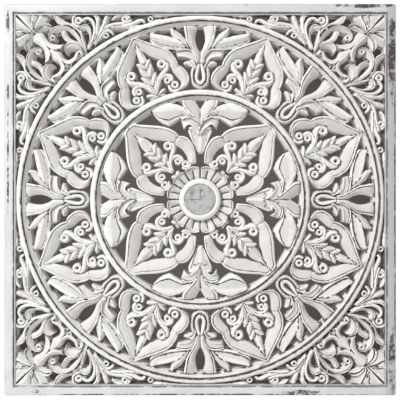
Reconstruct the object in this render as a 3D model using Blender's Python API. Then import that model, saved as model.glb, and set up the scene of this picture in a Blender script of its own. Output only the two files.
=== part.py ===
"""Square openwork wall panel: one pierced, carved board held in a flat square frame.

The front faces -Y and the flat back lies in the plane y = 0, with the origin at its centre.
Lengths are metres unless a name or a comment says otherwise.
"""
import math

import bpy
import numpy as np
from mathutils import Vector
from mathutils.bvhtree import BVHTree
from mathutils.geometry import delaunay_2d_cdt
from mathutils.kdtree import KDTree

MM = 0.001

# Overall sizes
PANEL_SIDE = 0.900
BOARD_DEPTH = 0.025

# Frame
FRAME_WIDTH = 0.020
FRAME_DEPTH = 0.025
FRAME_CHAMFER = 0.0015
FRAME_CORNER_RADIUS = 0.004
JOINT_GAP = 0.0003

# Border strip and rings of the carved board
BORDER_WIDTH = 0.0045
RING_MARGIN = 0.0028
OUTER_RING_WIDTH = 0.0265
OUTER_RING_BEAD = 0.0145
INNER_RING_RADIUS = 0.2555
INNER_RING_WIDTH = 0.0245
INNER_RING_BEAD = 0.0150

# Rosette
PETAL_COUNT = 12
ROSETTE_RADIUS = 0.0785
PETAL_NOTCH = 0.0060
BOSS_RADIUS = 0.0495
BOSS_FACE_RADIUS = 0.0355

# Relief heights above the back, for a board of the drawn depth
RING_TOP = 0.0245
RING_GROOVE = 0.0195
GROOVE_HALF = 0.0018
RING_EDGE = 0.0165
ROSETTE_TOP = 0.0230
PETAL_SEAT = 0.0175
PETAL_DEPTH = 0.0030
BOSS_TOP = 0.0250
BOSS_EDGE = 0.0210
BORDER_TOP = 0.0225

# How far the drawn strands run under the parts that they join, and past the board's edge
PALMETTE_RING_LAP = 0.0066
PALMETTE_HOOP_LAP = 0.0095
LILY_HOOP_LAP = 0.0055
LILY_ROSETTE_LAP = 0.0035
CORNER_LAP = 0.0178
# The depth of the board that the strands' heights are drawn for
DRAWN_DEPTH = 0.025

# Fineness of the faceted solid
OUTLINE_STEP = 0.004
OUTLINE_TOLERANCE = 0.0034
STRAND_SHARE = 0.45
LINE_TOLERANCE = 0.0040
SMALLEST_OPENING = 0.00018
EDGE_CLEARANCE = 0.0040
POINT_SPACING = 0.0095
EDGE_REACH = 0.0012
OUTER_RING_SEGMENTS = 48
INNER_RING_SEGMENTS = 40
BOSS_SEGMENTS = 24
CORNER_STEPS = 2
# Guide lines of the turned parts may come this much nearer an opening than the others
LEADING_SHARE = 0.6
CHORD_SHARE = 0.3
MOST_GUIDE_POINTS = 20000

PAINT_ROUGHNESS = 0.7
FRAME_COLOUR = (0.52, 0.50, 0.49)
BOARD_COLOUR = (0.74, 0.73, 0.70)

# Height across a strand, from its lip side (-1) to its other side (1), as parts of its relief
PROFILES = {
    "round": ((-1, 0.35), (-0.7, 0.78), (-0.25, 0.98), (0, 1), (0.25, 0.98), (0.7, 0.78), (1, 0.35)),
    "leaf": ((-1, 0.5), (-0.6, 0.7), (-0.1, 0.97), (0, 1), (0.1, 0.97), (0.6, 0.7), (1, 0.5)),
    "vein": ((-1, 0.65), (-0.9, 0.9), (-0.74, 1), (-0.65, 0.95), (-0.61, 0.45), (-0.52, 0.45),
             (-0.47, 0.9), (-0.1, 0.82), (0.4, 0.55), (0.9, 0.22), (1, 0.12)),
    "scoop": ((-1, 0.7), (-0.9, 0.95), (-0.76, 1), (-0.68, 0.92), (-0.63, 0.35), (-0.53, 0.35),
              (-0.45, 0.55), (0, 0.45), (0.45, 0.62), (0.75, 0.95), (0.9, 0.95), (1, 0.7)),
    "wing": ((-1, 0.45), (-0.93, 0.64), (-0.62, 0.84), (-0.56, 0.8), (-0.53, 0.4), (-0.46, 0.4),
             (-0.42, 0.82), (0, 0.9), (0.6, 1), (0.92, 0.95), (1, 0.7)),
    "spear": ((-1, 0.3), (-0.88, 0.45), (-0.06, 0.98), (0, 1), (0.06, 0.98), (0.88, 0.45),
              (1, 0.3)),
    "slit": ((-1, 0.55), (-0.9, 0.75), (-0.5, 0.8), (-0.16, 1), (-0.09, 0.9), (-0.05, 0.1),
             (0.05, 0.1), (0.09, 0.9), (0.16, 1), (0.5, 0.8), (0.9, 0.75), (1, 0.55)),
    "split": ((-1, 0.7), (-0.9, 0.95), (-0.72, 0.85), (-0.38, 0.6), (-0.31, 0), (-0.17, 0),
              (-0.1, 0.95), (0.02, 1), (0.35, 0.7), (0.75, 0.45), (1, 0.3)),
    "half": ((-1, 0.05), (-0.86, 0.1), (-0.74, 0.92), (-0.55, 1), (0, 0.85), (0.6, 0.6), (0.9, 0.45),
             (1, 0.3)),
    "loop": ((-1, 0.5), (-0.9, 0.74), (-0.5, 0.84), (-0.16, 0.78), (-0.1, 0.2), (0.06, 0.2),
             (0.14, 0.85), (0.4, 1), (0.72, 0.94), (0.9, 0.72), (1, 0.4)),
    "bud": ((-1, 0.55), (-0.93, 0.85), (-0.84, 0.9), (-0.78, 0.5), (-0.7, 0.5), (-0.35, 0.78),
            (0, 1), (0.35, 0.78), (0.7, 0.5), (0.78, 0.5), (0.84, 0.9), (0.93, 0.85), (1, 0.55)),
    "ground": ((-1, 1), (0, 1), (1, 1)),
}
# Petal section: place between its notches (-1 to 1) and height share
PETAL_PROFILE = ((-1, 0), (-0.94, 0.1), (-0.85, 0.95), (-0.74, 1), (-0.4, 0.75), (-0.12, 0.5),
                 (-0.05, 0.1), (0.05, 0.1), (0.12, 0.5), (0.4, 0.75), (0.74, 1), (0.85, 0.95),
                 (0.94, 0.1), (1, 0))
# Along a petal: share of its length, how much of the middle valley is left, and the lip's drop
PETAL_REACH = ((0, 1, 0), (0.25, 1, 0), (0.5, 1, 0), (0.66, 0.6, 0.1), (0.8, 0.3, 0.2),
               (0.9, 0.3, 0.35), (0.95, 0, -0.3), (0.98, 0, -0.2), (1, 0, 0.6))
PETAL_VALLEY = 0.2
# The line across each kind of strand that the faceted solid follows
CREST = {
    "round": (0,), "leaf": (0,), "vein": (-0.4, 0.6), "scoop": (0,), "wing": (-0.1, -0.54),
    "spear": (0,), "slit": (0,), "split": (0.02,), "half": (-0.3,), "loop": (0.4,), "bud": (0,),
}

EYE_PROFILE = ((0, 0.5), (0.13, 0.45), (0.26, 0.1), (0.4, 0.15), (0.54, 0.9), (0.68, 1),
               (0.86, 0.86), (1, 0.45))

# Strands: name, kind, top and edge height in millimetres above the back, then the stations along it
# in millimetres. A station is x, y and half width, or the two edge points x, y, x, y. In the round
# motifs x runs sideways and y out from the centre, and one half is drawn. In the corner x runs to
# the right and y up from the panel's centre, and the half above the diagonal is drawn.
ARCH = (
    ("band", "vein", 23.5, 15,
     ((-1.5, 407.5, -4.5, 387), (8.5, 399.5, 3.5, 378.5), (18, 391, 9, 366.5), (28, 382, 16, 358),
      (41.5, 371, 25, 347.5), (54.5, 358.5, 35.5, 338), (65.5, 345.5, 45, 330.5),
      (71.5, 329.5, 51, 322.5), (73.5, 315.5, 53, 311.5), (71.5, 303.5, 54.5, 301.5))),
    ("lobe", "vein", 23, 15,
     ((69.5, 308.5, 54.5, 305), (78.5, 300.5, 55, 298), (84, 288.5, 58.5, 287.5),
      (86, 275, 62.5, 276), (82.5, 264, 62.5, 267.5), (73, 256, 58.5, 262), (60.5, 252, 53, 259.5),
      (46.5, 249.5, 47, 258.5))),
    ("wrap", "round", 20, 14,
     ((58, 255, 3.5), (45, 254, 4.5), (36.5, 258, 4.5), (34, 266.5, 4), (35.5, 274.5, 3))),
    ("lobe_eye", "eye", 20.5, 13,
     ((48, 268, 10),)),
    ("spear", "spear", 21, 14,
     ((0, 400, 1), (0, 387, 3.5), (0, 368.5, 7.5), (0, 348, 9.5), (0, 336, 9.5))),
    ("tendril", "round", 21.5, 13.5,
     ((48.5, 326, 3.5), (48, 316, 6.5), (41, 307, 7), (28.5, 301, 6), (18.5, 294, 5),
      (10.5, 283, 3.5), (3.5, 269, 2.5), (0.5, 261, 1.5))),
    ("tendril_eye", "eye", 21.5, 13,
     ((38, 324, 12),)),
    ("curl", "round", 20.5, 13.5,
     ((3.5, 264.5, 2), (10, 277, 3.5), (19, 289.5, 4), (29, 296, 4.5), (38.5, 296.5, 4.5),
      (46, 291, 5), (47, 283, 4.5), (42.5, 277.5, 3.5))),
    ("curl_eye", "eye", 19.5, 13,
     ((36, 284.5, 9.5),)),
    ("leaf_core", "leaf", 17, 13,
     ((0, 261, 2), (0, 278, 5.5), (0, 297, 9), (0, 315.5, 11.5), (0, 331.5, 12.5), (0, 343, 9.5))),
    ("leaf_top", "leaf", 22.5, 14.5,
     ((-1.5, 327, 3), (5, 332.5, 6.5), (11.5, 340, 6), (17, 346.5, 1))),
    ("leaf_mid", "leaf", 22, 14.5,
     ((-1.5, 305, 3), (5, 314, 6.5), (10.5, 324, 6.5), (15.5, 335, 1))),
    ("leaf_low", "leaf", 21.5, 14.5,
     ((-1.5, 284, 3), (6, 294.5, 6.5), (12.5, 304.5, 6), (19, 314, 1))),
    ("leaf_base", "leaf", 21, 14.5,
     ((-0.5, 261, 2), (3, 273.5, 4.5), (6.5, 286.5, 5.5), (10, 297, 4.5))),
    ("foot", "leaf", 19, 13.5,
     ((-2.5, 256, 3.5), (8, 263, 4.5), (16.5, 266.5, 4.5), (24, 268.5, 3))),
    ("foot_base", "leaf", 17.5, 13,
     ((-2.5, 253, 7), (9.5, 254, 7), (19, 252.5, 6))),
)
PALMETTE = (
    ("tube", "vein", 24, 15,
     ((39.5, 403.5, 5, 407), (38, 395.5, 7.5, 397), (35.5, 387, 10.5, 388.5),
      (34, 374.5, 12, 374.5), (29.5, 361.5, 9.5, 360.5), (22.5, 350, 4.5, 348),
      (16, 339, -2.5, 338.5), (11, 328, -2.5, 327), (9.5, 313, -2.5, 313))),
    ("wing", "wing", 22, 14.5,
     ((117, 377, 116, 387), (114.5, 364.5, 106.5, 384), (103, 356.5, 92.5, 381.5),
      (88, 351, 76.5, 378.5), (70.5, 347, 61.5, 374.5), (53.5, 346, 46.5, 370),
      (36, 346, 33.5, 363), (21, 345.5, 25.5, 353.5))),
    ("wing_tip", "leaf", 23.5, 15,
     ((69.5, 397, 65.5, 399.5), (68, 383, 56.5, 391.5), (64, 374.5, 45.5, 384.5),
      (55.5, 367.5, 36, 375.5), (45, 360.5, 30.5, 365), (30, 349, 23, 352.5))),
    ("hook", "scoop", 23, 14.5,
     ((57.5, 344, 52.5, 330.5), (47.5, 348, 44, 330), (35, 349, 33.5, 329), (23, 347.5, 24.5, 326),
      (15, 338.5, 18, 320), (8, 326, 13, 310.5), (6, 313, 9.5, 303.5))),
    ("sprout", "leaf", 20, 13.5,
     ((9.5, 301.5, 3), (17.5, 310.5, 5.5), (27.5, 316, 6), (38.5, 316.5, 2.5))),
    ("sprout_high", "leaf", 20.5, 14,
     ((8, 303.5, 3), (14.5, 313.5, 4), (21.5, 321, 3), (25.5, 323, 1.5))),
    ("loop", "loop", 20.5, 14,
     ((5, 320, 6), (8.5, 308.5, 8.5), (12, 297, 9.5), (13.5, 283.5, 8.5), (10.5, 272, 9),
      (2, 265, 9.5), (-6, 265, 9.5))),
)
INNER_ARCH = (
    ("band", "vein", 23.5, 15,
     ((-4.5, 236.5, -4.5, 213.5), (14.5, 233.5, 4.5, 204), (22.5, 222.5, 10, 193.5),
      (32.5, 211.5, 15.5, 185), (46.5, 196, 22, 174), (58, 181, 31.5, 162.5), (66, 166, 40, 152),
      (70.5, 150.5, 45, 141.5), (70, 138, 48.5, 133.5))),
    ("lobe", "vein", 23, 15,
     ((68, 140.5, 47.5, 137), (77, 131, 50, 125), (81, 118.5, 52.5, 113.5), (79, 104.5, 51.5, 102),
      (73.5, 90.5, 48, 90.5), (65.5, 79.5, 42.5, 82.5), (54.5, 67, 37, 74))),
    ("wrap", "round", 20, 14,
     ((45, 76.5, 4), (35, 72, 3.5), (25.5, 76.5, 3.5), (24, 83.5, 3))),
    ("lobe_eye", "eye", 20.5, 13,
     ((34, 82, 9.5),)),
    ("spear", "spear", 21, 14,
     ((0, 220.5, 1), (0, 204, 5), (0, 185.5, 11.5), (0, 167, 12.5), (0, 155.5, 11.5))),
    ("tendril", "round", 21.5, 13.5,
     ((45, 141.5, 3.5), (44, 131.5, 6.5), (36, 124, 6.5), (25, 118.5, 5.5), (15, 112.5, 4.5),
      (7, 102, 3.5), (0.5, 87, 2.5))),
    ("tendril_eye", "eye", 21.5, 13,
     ((35, 140, 11.5),)),
    ("curl", "round", 20.5, 13.5,
     ((3, 94, 2.5), (8, 102.5, 3.5), (16, 110.5, 4), (24.5, 112.5, 4.5), (33, 109, 5),
      (37, 101, 4.5), (35.5, 92.5, 4), (29.5, 89.5, 3))),
    ("curl_eye", "eye", 19.5, 13,
     ((26, 99, 9),)),
    ("leaf_core", "leaf", 17, 13,
     ((0, 87, 2), (0, 102, 6), (0, 116, 9.5), (0, 132, 13.5), (0, 148.5, 15), (0, 162.5, 11.5))),
    ("leaf_top", "leaf", 22.5, 14.5,
     ((-1.5, 146, 3), (6, 154, 6.5), (13, 161, 6), (20.5, 166, 1))),
    ("leaf_mid", "leaf", 22, 14.5,
     ((-1.5, 130, 3), (6, 138.5, 7), (12, 147, 6.5), (17, 156.5, 1))),
    ("leaf_low", "leaf", 21.5, 14.5,
     ((-1.5, 112.5, 3), (6, 120, 6.5), (13.5, 126.5, 6), (21.5, 132, 1))),
    ("leaf_base", "leaf", 21, 14.5,
     ((-0.5, 88, 2), (3, 99.5, 4.5), (7, 109, 5.5), (10.5, 118.5, 4.5))),
    ("foot", "leaf", 17.5, 13,
     ((-2.5, 80, 5), (6, 81, 4.5), (11.5, 82.5, 3))),
)
LILY = (
    ("tube", "vein", 24, 15,
     ((41, 232.5, 13, 232.5), (41, 218, 7.5, 222.5), (31, 206, 0.5, 211),
      (19.5, 193.5, -2.5, 201.5), (9.5, 182, -2.5, 188), (3.5, 171.5, -2.5, 174))),
    ("wing", "wing", 22.5, 14.5,
     ((108.5, 196, 112, 205.5), (97.5, 184, 102, 211.5), (83.5, 174.5, 86, 219.5),
      (72, 170.5, 72, 223.5), (59.5, 178, 58, 221.5), (47.5, 186, 45.5, 217),
      (35, 189.5, 31.5, 209.5), (22, 188, 17.5, 198))),
    ("hook", "scoop", 23.5, 15,
     ((45.5, 186, 38, 163), (36, 191, 32, 169.5), (25.5, 192.5, 24.5, 172.5),
      (15, 188.5, 17.5, 168), (7, 181.5, 10.5, 163), (0, 171.5, 4.5, 156.5), (-2.5, 160, 1, 149.5))),
    ("sepal", "leaf", 21, 14.5,
     ((-2, 147, 4), (8, 158.5, 6), (17.5, 165.5, 6), (27, 163.5, 3.5))),
    ("bud", "bud", 20, 13.5,
     ((0, 166, 21), (0, 161, 28), (0, 150.5, 25), (0, 139, 21), (0, 127.5, 16), (0, 116, 10.5),
      (0, 107.5, 6.5))),
)
CORNER = (
    ("heart", "slit", 22.5, 16,
     ((-432.5, 432.5, 14), (-422, 422, 25.5), (-409.5, 409.5, 24), (-402.5, 402.5, 14.5),
      (-396.5, 396.5, 9), (-389.5, 389.5, 4.5), (-382.5, 382.5, 3))),
    ("heart_side", "leaf", 21.5, 14.5,
     ((-385.5, 394, 2), (-388.5, 408, 3), (-387, 419.5, 4.5), (-388.5, 433.5, 7))),
    ("leaf_a", "split", 21.5, 14.5,
     ((-386, 385, -380.5, 383.5), (-390, 396.5, -375, 395), (-391.5, 409.5, -364, 407),
      (-388.5, 421, -356, 415), (-382.5, 432.5, -350.5, 432.5))),
    ("leaf_b", "split", 22.6, 15,
     ((-382, 383.5, -377.5, 377.5), (-377.5, 395, -370, 385), (-367.5, 404.5, -362.5, 388.5),
      (-357, 408, -354.5, 390), (-348, 406, -347.5, 392), (-340.5, 399.5, -341, 395.5))),
    ("stem", "half", 23, 15,
     ((-382.5, 382.5, -374.5, 388.5), (-374.5, 374.5, -364.5, 385), (-366.5, 366.5, -357.5, 374),
      (-357, 357, -349.5, 366.5), (-348.5, 350, -342, 361.5), (-339.5, 346, -332.5, 359),
      (-330, 346, -323.5, 358.5), (-321, 350, -317, 360), (-316, 358, -314.5, 361))),
    ("scroll", "vein", 22.8, 15,
     ((-339.5, 362, -341, 368.5), (-348.5, 366.5, -345, 372.5), (-352, 377, -345, 378),
      (-349.5, 387.5, -339.5, 381.5), (-341, 396.5, -332.5, 385), (-329.5, 401.5, -323, 388.5),
      (-316.5, 402.5, -313.5, 390.5), (-303.5, 399.5, -304.5, 389), (-291, 392.5, -295, 381.5),
      (-280.5, 380.5, -286.5, 372), (-274, 366.5, -280, 361.5), (-269.5, 352.5, -274.5, 351.5),
      (-265.5, 343, -269, 342))),
    ("scroll_eye", "eye", 21, 13.5,
     ((-341.5, 374, 8),)),
    ("spray", "vein", 21.6, 14.5,
     ((-323, 390, -310.5, 392.5), (-320.5, 381, -308, 383.5), (-316.5, 372.5, -303.5, 376.5),
      (-311, 366.5, -297.5, 371.5), (-302.5, 363.5, -290.5, 368.5), (-291, 362.5, -283, 366.5),
      (-280.5, 357, -276.5, 360), (-272, 348, -269.5, 350))),
    ("toe", "round", 22.4, 15.5,
     ((-281.5, 344.5, 2), (-277, 342, 4), (-273.5, 338, 4), (-272, 334, 2))),
    ("crescent", "vein", 22.2, 14.5,
     ((-311.5, 338, -308.5, 339), (-314.5, 346.5, -307, 343), (-313, 356, -302.5, 347),
      (-305.5, 363, -296, 348.5), (-295.5, 364.5, -289, 348.5), (-285, 360.5, -282.5, 347),
      (-276.5, 352, -277.5, 345), (-268.5, 342, -272.5, 340))),
    ("under", "half", 22.4, 14.5,
     ((-348, 348, -343, 351.5), (-339.5, 339.5, -333, 345.5), (-331.5, 331.5, -322, 340.5),
      (-324.5, 324.5, -318, 331), (-316.5, 317, -312, 325.5), (-307, 312.5, -304.5, 324),
      (-297.5, 314, -297.5, 326.5), (-290, 319.5, -292.5, 331), (-284.5, 328.5, -290, 336.5),
      (-281.5, 337, -287, 342), (-278, 341.5, -280, 345.5))),
    ("heel", "round", 18, 13.5,
     ((-317.5, 317.5, 3), (-312, 311, 2.5), (-309, 303.5, 2), (-306, 298, 2))),
    ("vine", "vein", 21.9, 14.5,
     ((-339.5, 433.5, -326, 433.5), (-336.5, 419, -323, 423), (-331, 408, -315, 415.5),
      (-321, 403, -304.5, 410), (-307, 402.5, -294.5, 408), (-293.5, 397, -286, 402.5),
      (-282.5, 387.5, -277.5, 393), (-276, 375.5, -272, 379), (-271.5, 362.5, -268, 364.5),
      (-267.5, 348.5, -265, 349.5))),
    ("vine_eye", "eye", 21, 13.5,
     ((-281.5, 414, 10),)),
    ("vine_cup", "round", 21, 14,
     ((-276, 400, 2.5), (-286.5, 401.5, 4), (-294, 410, 3.5), (-293.5, 421, 3.5), (-286, 429, 3.5),
      (-273.5, 433.5, 3.5))),
    ("vine_floor", "ground", 13, 12.5,
     ((-289.5, 407, 3.5), (-288.5, 417.5, 5), (-283.5, 426.5, 4.5))),
    ("crown", "round", 22.2, 14.5,
     ((-275, 407.5, 2.5), (-270, 415, 4), (-261, 419, 4.5), (-252, 415.5, 4.5), (-246, 406, 4.5),
      (-244, 394, 4), (-246, 379, 4), (-252.5, 361.5, 4), (-259.5, 345.5, 3.5))),
    ("crown_out", "round", 21, 14,
     ((-261, 432.5, 3), (-248, 428.5, 3), (-241, 421, 3), (-238, 408, 3), (-240, 392, 3),
      (-246, 373.5, 3), (-252.5, 357, 3), (-259.5, 344.5, 2.5))),
    ("crown_in", "vein", 22.6, 15,
     ((-280.5, 394, -276.5, 389.5), (-276, 401.5, -271, 390), (-265.5, 405.5, -264, 390),
      (-255.5, 400, -259.5, 387), (-250.5, 388.5, -257, 380.5), (-251.5, 372, -257.5, 368.5),
      (-256.5, 356.5, -262, 356), (-262.5, 343, -265.5, 343))),
    ("crown_left", "round", 21.5, 14.5,
     ((-278, 393, 3), (-275, 382.5, 3), (-271.5, 367.5, 3), (-266.5, 352.5, 3), (-264.5, 342, 3))),
    ("crown_neck", "ground", 13, 12.5,
     ((-250.5, 424.5, 3.5), (-242.5, 415, 3.5), (-241, 399, 3), (-244.5, 380.5, 3))),
    ("plume_a", "leaf", 21.5, 14.5,
     ((-244.5, 366.5, 4), (-239, 385, 5), (-236.5, 403.5, 5.5), (-237, 419.5, 5.5),
      (-241, 431.5, 4.5))),
    ("plume_b", "leaf", 21.5, 14.5,
     ((-247, 357, 3.5), (-234, 380.5, 5), (-225.5, 397.5, 5.5), (-218.5, 414, 6), (-214.5, 429, 5))),
    ("plume_c", "leaf", 21.5, 14.5,
     ((-241, 372, 4), (-227, 389.5, 5), (-213.5, 399.5, 5.5), (-199.5, 404.5, 5), (-183, 406.5, 5),
      (-167, 410.5, 5), (-155.5, 415, 3.5))),
    ("plume_c_tip", "round", 21, 14,
     ((-204, 415, 3), (-193.5, 424, 4.5), (-179.5, 426.5, 5), (-166.5, 424, 4.5), (-162.5, 416, 3.5))),
    ("plume_eye", "eye", 21, 13.5,
     ((-174, 418, 9),)),
    ("plume_d", "leaf", 21.5, 14.5,
     ((-244.5, 357, 3.5), (-234, 372, 5.5), (-225, 383.5, 6.5), (-214.5, 391, 5.5), (-205, 387, 4),
      (-200.5, 380.5, 3))),
    ("plume_d_eye", "eye", 21, 13.5,
     ((-217.5, 379.5, 8),)),
    ("tail", "round", 21, 14,
     ((-183, 401, 3), (-167, 403, 5), (-153, 408, 6), (-141.5, 413.5, 5.5), (-132, 414, 4),
      (-127.5, 407, 3))),
    ("tail_web", "leaf", 21.5, 14.5,
     ((-208.5, 397.5, 3.5), (-185.5, 399, 3.5), (-157.5, 397.5, 5), (-134.5, 401, 5.5))),
    ("end_eye", "eye", 21, 13.5,
     ((-114.5, 417.5, 7.5),)),
    ("end_wrap", "round", 21, 14,
     ((-120.5, 431.5, 3.5), (-104.5, 426.5, 5.5), (-92.5, 426, 5), (-69.5, 429, 3.5))),
    ("end_foot", "leaf", 21.5, 14.5,
     ((-120.5, 409.5, 5), (-104.5, 411.5, 4.5), (-88, 415.5, 3.5))),
    ("end_ground", "ground", 13, 12.5,
     ((-109, 421, 8), (-81, 424, 6.5), (-51, 428, 5), (-18.5, 429, 4))),
    ("crown_ground", "ground", 13, 12.5,
     ((-301.5, 430, 3.5), (-283, 428, 7), (-259.5, 428, 8), (-234, 429, 6.5), (-220.5, 430, 5.5),
      (-204, 428, 7), (-192.5, 429, 5))),
    ("crown_floor", "ground", 13, 12.5,
     ((-295.5, 395.5, 3), (-284, 396.5, 5), (-276.5, 402.5, 3.5))),
    ("web_floor", "ground", 13, 12.5,
     ((-320, 320, 3.5), (-309.5, 312, 9.5), (-295.5, 316, 9.5), (-279.5, 328.5, 10.5),
      (-261, 343, 7))),
)


def drawn_reach(motifs, measure):
    """Least and greatest distance from the centre that the strands of some motifs reach."""
    least = math.inf
    most = 0.0
    for motif in motifs:
        for _, _, _, _, stations in motif:
            for station in stations:
                if len(station) == 4:
                    found = [measure(*station[:2]), measure(*station[2:])]
                else:
                    middle = measure(*station[:2])
                    found = [middle - station[2], middle + station[2]]
                least = min([least] + found)
                most = max([most] + found)
    return least * MM, most * MM


def stretched(value, drawn, real):
    """The radius that stands for a drawn radius when a ring's edges move."""
    share = (value - drawn[0]) / (drawn[1] - drawn[0])
    return real[0] + share * (real[1] - real[0])


def spline(points, step):
    """A smooth curve through control rows, with rows about one step apart."""
    rows = np.array(points, float)
    padded = np.vstack([2 * rows[0] - rows[1], rows, 2 * rows[-1] - rows[-2]])
    found = []
    for i in range(1, len(padded) - 2):
        before, start, end, after = padded[i - 1 : i + 3]
        count = max(2, math.ceil(np.linalg.norm((end - start)[:2]) / step))
        for k in range(count):
            t = k / count
            found.append(
                0.5 * (2 * start + (end - before) * t
                       + (2 * before - 5 * start + 4 * end - after) * t**2
                       + (3 * start - before - 3 * end + after) * t**3)
            )
    found.append(padded[-2])
    return np.array(found)


def edge_curves(stations, step):
    """The two edge curves of a strand in its own drawing."""
    curve = spline(stations, step)
    if curve.shape[1] == 4:
        return curve[:, :2], curve[:, 2:]
    middle = curve[:, :2]
    along = np.gradient(middle, axis=0)
    along /= np.linalg.norm(along, axis=1)[:, None]
    side = np.stack([-along[:, 1], along[:, 0]], 1)
    return middle + side * curve[:, 2:], middle - side * curve[:, 2:]


def real_height(drawn):
    return drawn * BOARD_DEPTH / DRAWN_DEPTH


def ribbon_patch(first, second, kind, top, low, lines):
    """Grid of 3-D points between two edge curves. Its ends fall away as a carved tip does."""
    profile = np.array(PROFILES[kind])
    across = np.array(lines)
    rise = np.interp(across, profile[:, 0], profile[:, 1])
    share = ((across + 1) / 2)[None, :, None]
    plan = first[:, None] * (1 - share) + second[:, None] * share
    middle = (first + second) / 2
    half = np.linalg.norm(first - second, axis=1) / 2
    run = np.concatenate([[0], np.cumsum(np.linalg.norm(np.diff(middle, axis=0), axis=1))])
    near_end = np.minimum(run, run[-1] - run)
    part = np.clip(near_end / np.maximum(half, MM), 0, 1)
    ease = 0.3 + 0.7 * np.sqrt(1 - (1 - part) ** 2)
    height = real_height(low + (top - low) * rise[None, :] * ease[:, None])
    return np.dstack([plan, height])


def eye_patch(centre, radius, top, low, around):
    """Round volute end: a raised rim round a sunk hollow with a bud."""
    profile = np.array(EYE_PROFILE)
    angle = np.linspace(0, 2 * math.pi, around + 1)
    reach = profile[:, 0] * radius
    reach[0] = radius * 0.02
    x = centre[0] + reach[None, :] * np.cos(angle)[:, None]
    y = centre[1] + reach[None, :] * np.sin(angle)[:, None]
    height = real_height(low + (top - low) * profile[:, 1])
    return np.dstack([x, y, np.broadcast_to(height, x.shape)])


def turned(plan, angle):
    """Plan points turned clockwise as seen from the front."""
    c = math.cos(angle)
    s = math.sin(angle)
    return np.stack([plan[..., 0] * c + plan[..., 1] * s, plan[..., 1] * c - plan[..., 0] * s], -1)


def copies_of(motif, zone, angles, step, lines_of):
    """Every placed copy of a round motif: its left and right halves at each angle."""
    for name, kind, top, low, stations in motif:
        on_axis = kind != "eye" and all(s[0] == 0 for s in stations)
        if kind == "eye":
            x, y, radius = (v * MM for v in stations[0])
            patch = eye_patch((x, y), radius, top * MM, low * MM, max(10, round(radius * 6 / step)))
        else:
            first, second = edge_curves(np.array(stations) * MM, step)
            patch = ribbon_patch(first, second, kind, top * MM, low * MM, lines_of(kind))
        radius = np.hypot(patch[..., 0], patch[..., 1])
        patch[..., :2] *= (stretched(radius, *zone) / radius)[..., None]
        for angle in angles:
            for side in (1,) if on_axis else (1, -1):
                plan = turned(patch[..., :2] * (side, 1), angle)
                yield name, kind, np.dstack([plan, patch[..., 2]])


def corner_copies(motif, scale, step, lines_of):
    for name, kind, top, low, stations in motif:
        on_axis = kind != "eye" and all(s[0] == -s[1] for s in stations)
        if kind == "eye":
            x, y, radius = (v * MM for v in stations[0])
            patch = eye_patch((x, y), radius, top * MM, low * MM, max(10, round(radius * 6 / step)))
        else:
            first, second = edge_curves(np.array(stations) * MM, step)
            patch = ribbon_patch(first, second, kind, top * MM, low * MM, lines_of(kind))
        for quarter in range(4):
            for over in (False,) if on_axis else (False, True):
                plan = patch[..., :2] * scale
                if over:
                    plan = -plan[..., ::-1]
                yield name, kind, np.dstack([turned(plan, quarter * math.pi / 2), patch[..., 2]])


def ring_patch(rows, segments, start=0.0):
    """Turned moulding from rows of radius and height."""
    angle = start + np.linspace(0, 2 * math.pi, segments + 1)
    radius = np.array([r for r, _ in rows])
    height = real_height(np.array([h for _, h in rows]))
    x = radius[None, :] * np.sin(angle)[:, None]
    y = radius[None, :] * np.cos(angle)[:, None]
    return np.dstack([x, y, np.broadcast_to(height, x.shape)])


def board_half():
    return PANEL_SIDE / 2 - FRAME_WIDTH - JOINT_GAP


def ring_rows(outer, width, bead):
    """Radius and height across a ring, from its inner edge to its outer edge."""
    inner = outer - width
    groove = outer - bead
    slope = groove - inner
    return (
        (inner, RING_EDGE),
        (inner + 0.5 * slope, (RING_EDGE + RING_TOP) / 2 - MM),
        (groove - GROOVE_HALF, RING_TOP - 2 * MM),
        (groove, RING_GROOVE),
        (groove + GROOVE_HALF, RING_TOP - MM),
        (groove + 0.45 * bead, RING_TOP),
        (groove + 0.75 * bead, RING_TOP - 1.5 * MM),
        (outer - 0.08 * bead, RING_GROOVE),
        (outer, RING_EDGE),
    )


def outer_ring_rows():
    return ring_rows(board_half() - RING_MARGIN, OUTER_RING_WIDTH, OUTER_RING_BEAD)


def inner_ring_rows():
    return ring_rows(INNER_RING_RADIUS, INNER_RING_WIDTH, INNER_RING_BEAD)


def border_patches():
    """Four mitred strips along the board's edge."""
    half = board_half()
    rows = (
        (half, BORDER_TOP - 1.5 * MM),
        (half - 0.3 * BORDER_WIDTH, BORDER_TOP),
        (half - 0.7 * BORDER_WIDTH, BORDER_TOP),
        (half - BORDER_WIDTH, RING_EDGE),
    )
    for quarter in range(4):
        plan = np.array([[(-r, r) for r, _ in rows], [(r, r) for r, _ in rows]])
        height = np.array([[real_height(h) for _, h in rows]] * 2)
        yield np.dstack([turned(plan, quarter * math.pi / 2), height])


def rosette_patch():
    """Petals fanned round the boss. They rise outwards, each with a lip, a valley and a notch."""
    inner = BOSS_RADIUS * 0.9
    turns = [(k, place, share) for k in range(PETAL_COUNT) for place, share in PETAL_PROFILE[:-1]]
    grid = []
    for k, place, share in turns + [(PETAL_COUNT, *PETAL_PROFILE[0])]:
        angle = 2 * math.pi / PETAL_COUNT * (k + (place + 1) / 2)
        tip = ROSETTE_RADIUS - PETAL_NOTCH * abs(place) ** 2.5
        row = []
        for reach, fade, drop in PETAL_REACH:
            radius = inner + (tip - inner) * reach
            cut = 1 - share
            if abs(place) < PETAL_VALLEY:
                cut *= fade
            rise = PETAL_SEAT + (ROSETTE_TOP - PETAL_SEAT) * reach - PETAL_DEPTH * (cut + drop)
            row.append((radius * math.sin(angle), radius * math.cos(angle), real_height(rise)))
        grid.append(row)
    return np.array(grid)


def drawn_lines(kind):
    """The lines across a strand that its surface is sampled on."""
    return [v for v, _ in PROFILES[kind]]


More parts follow.
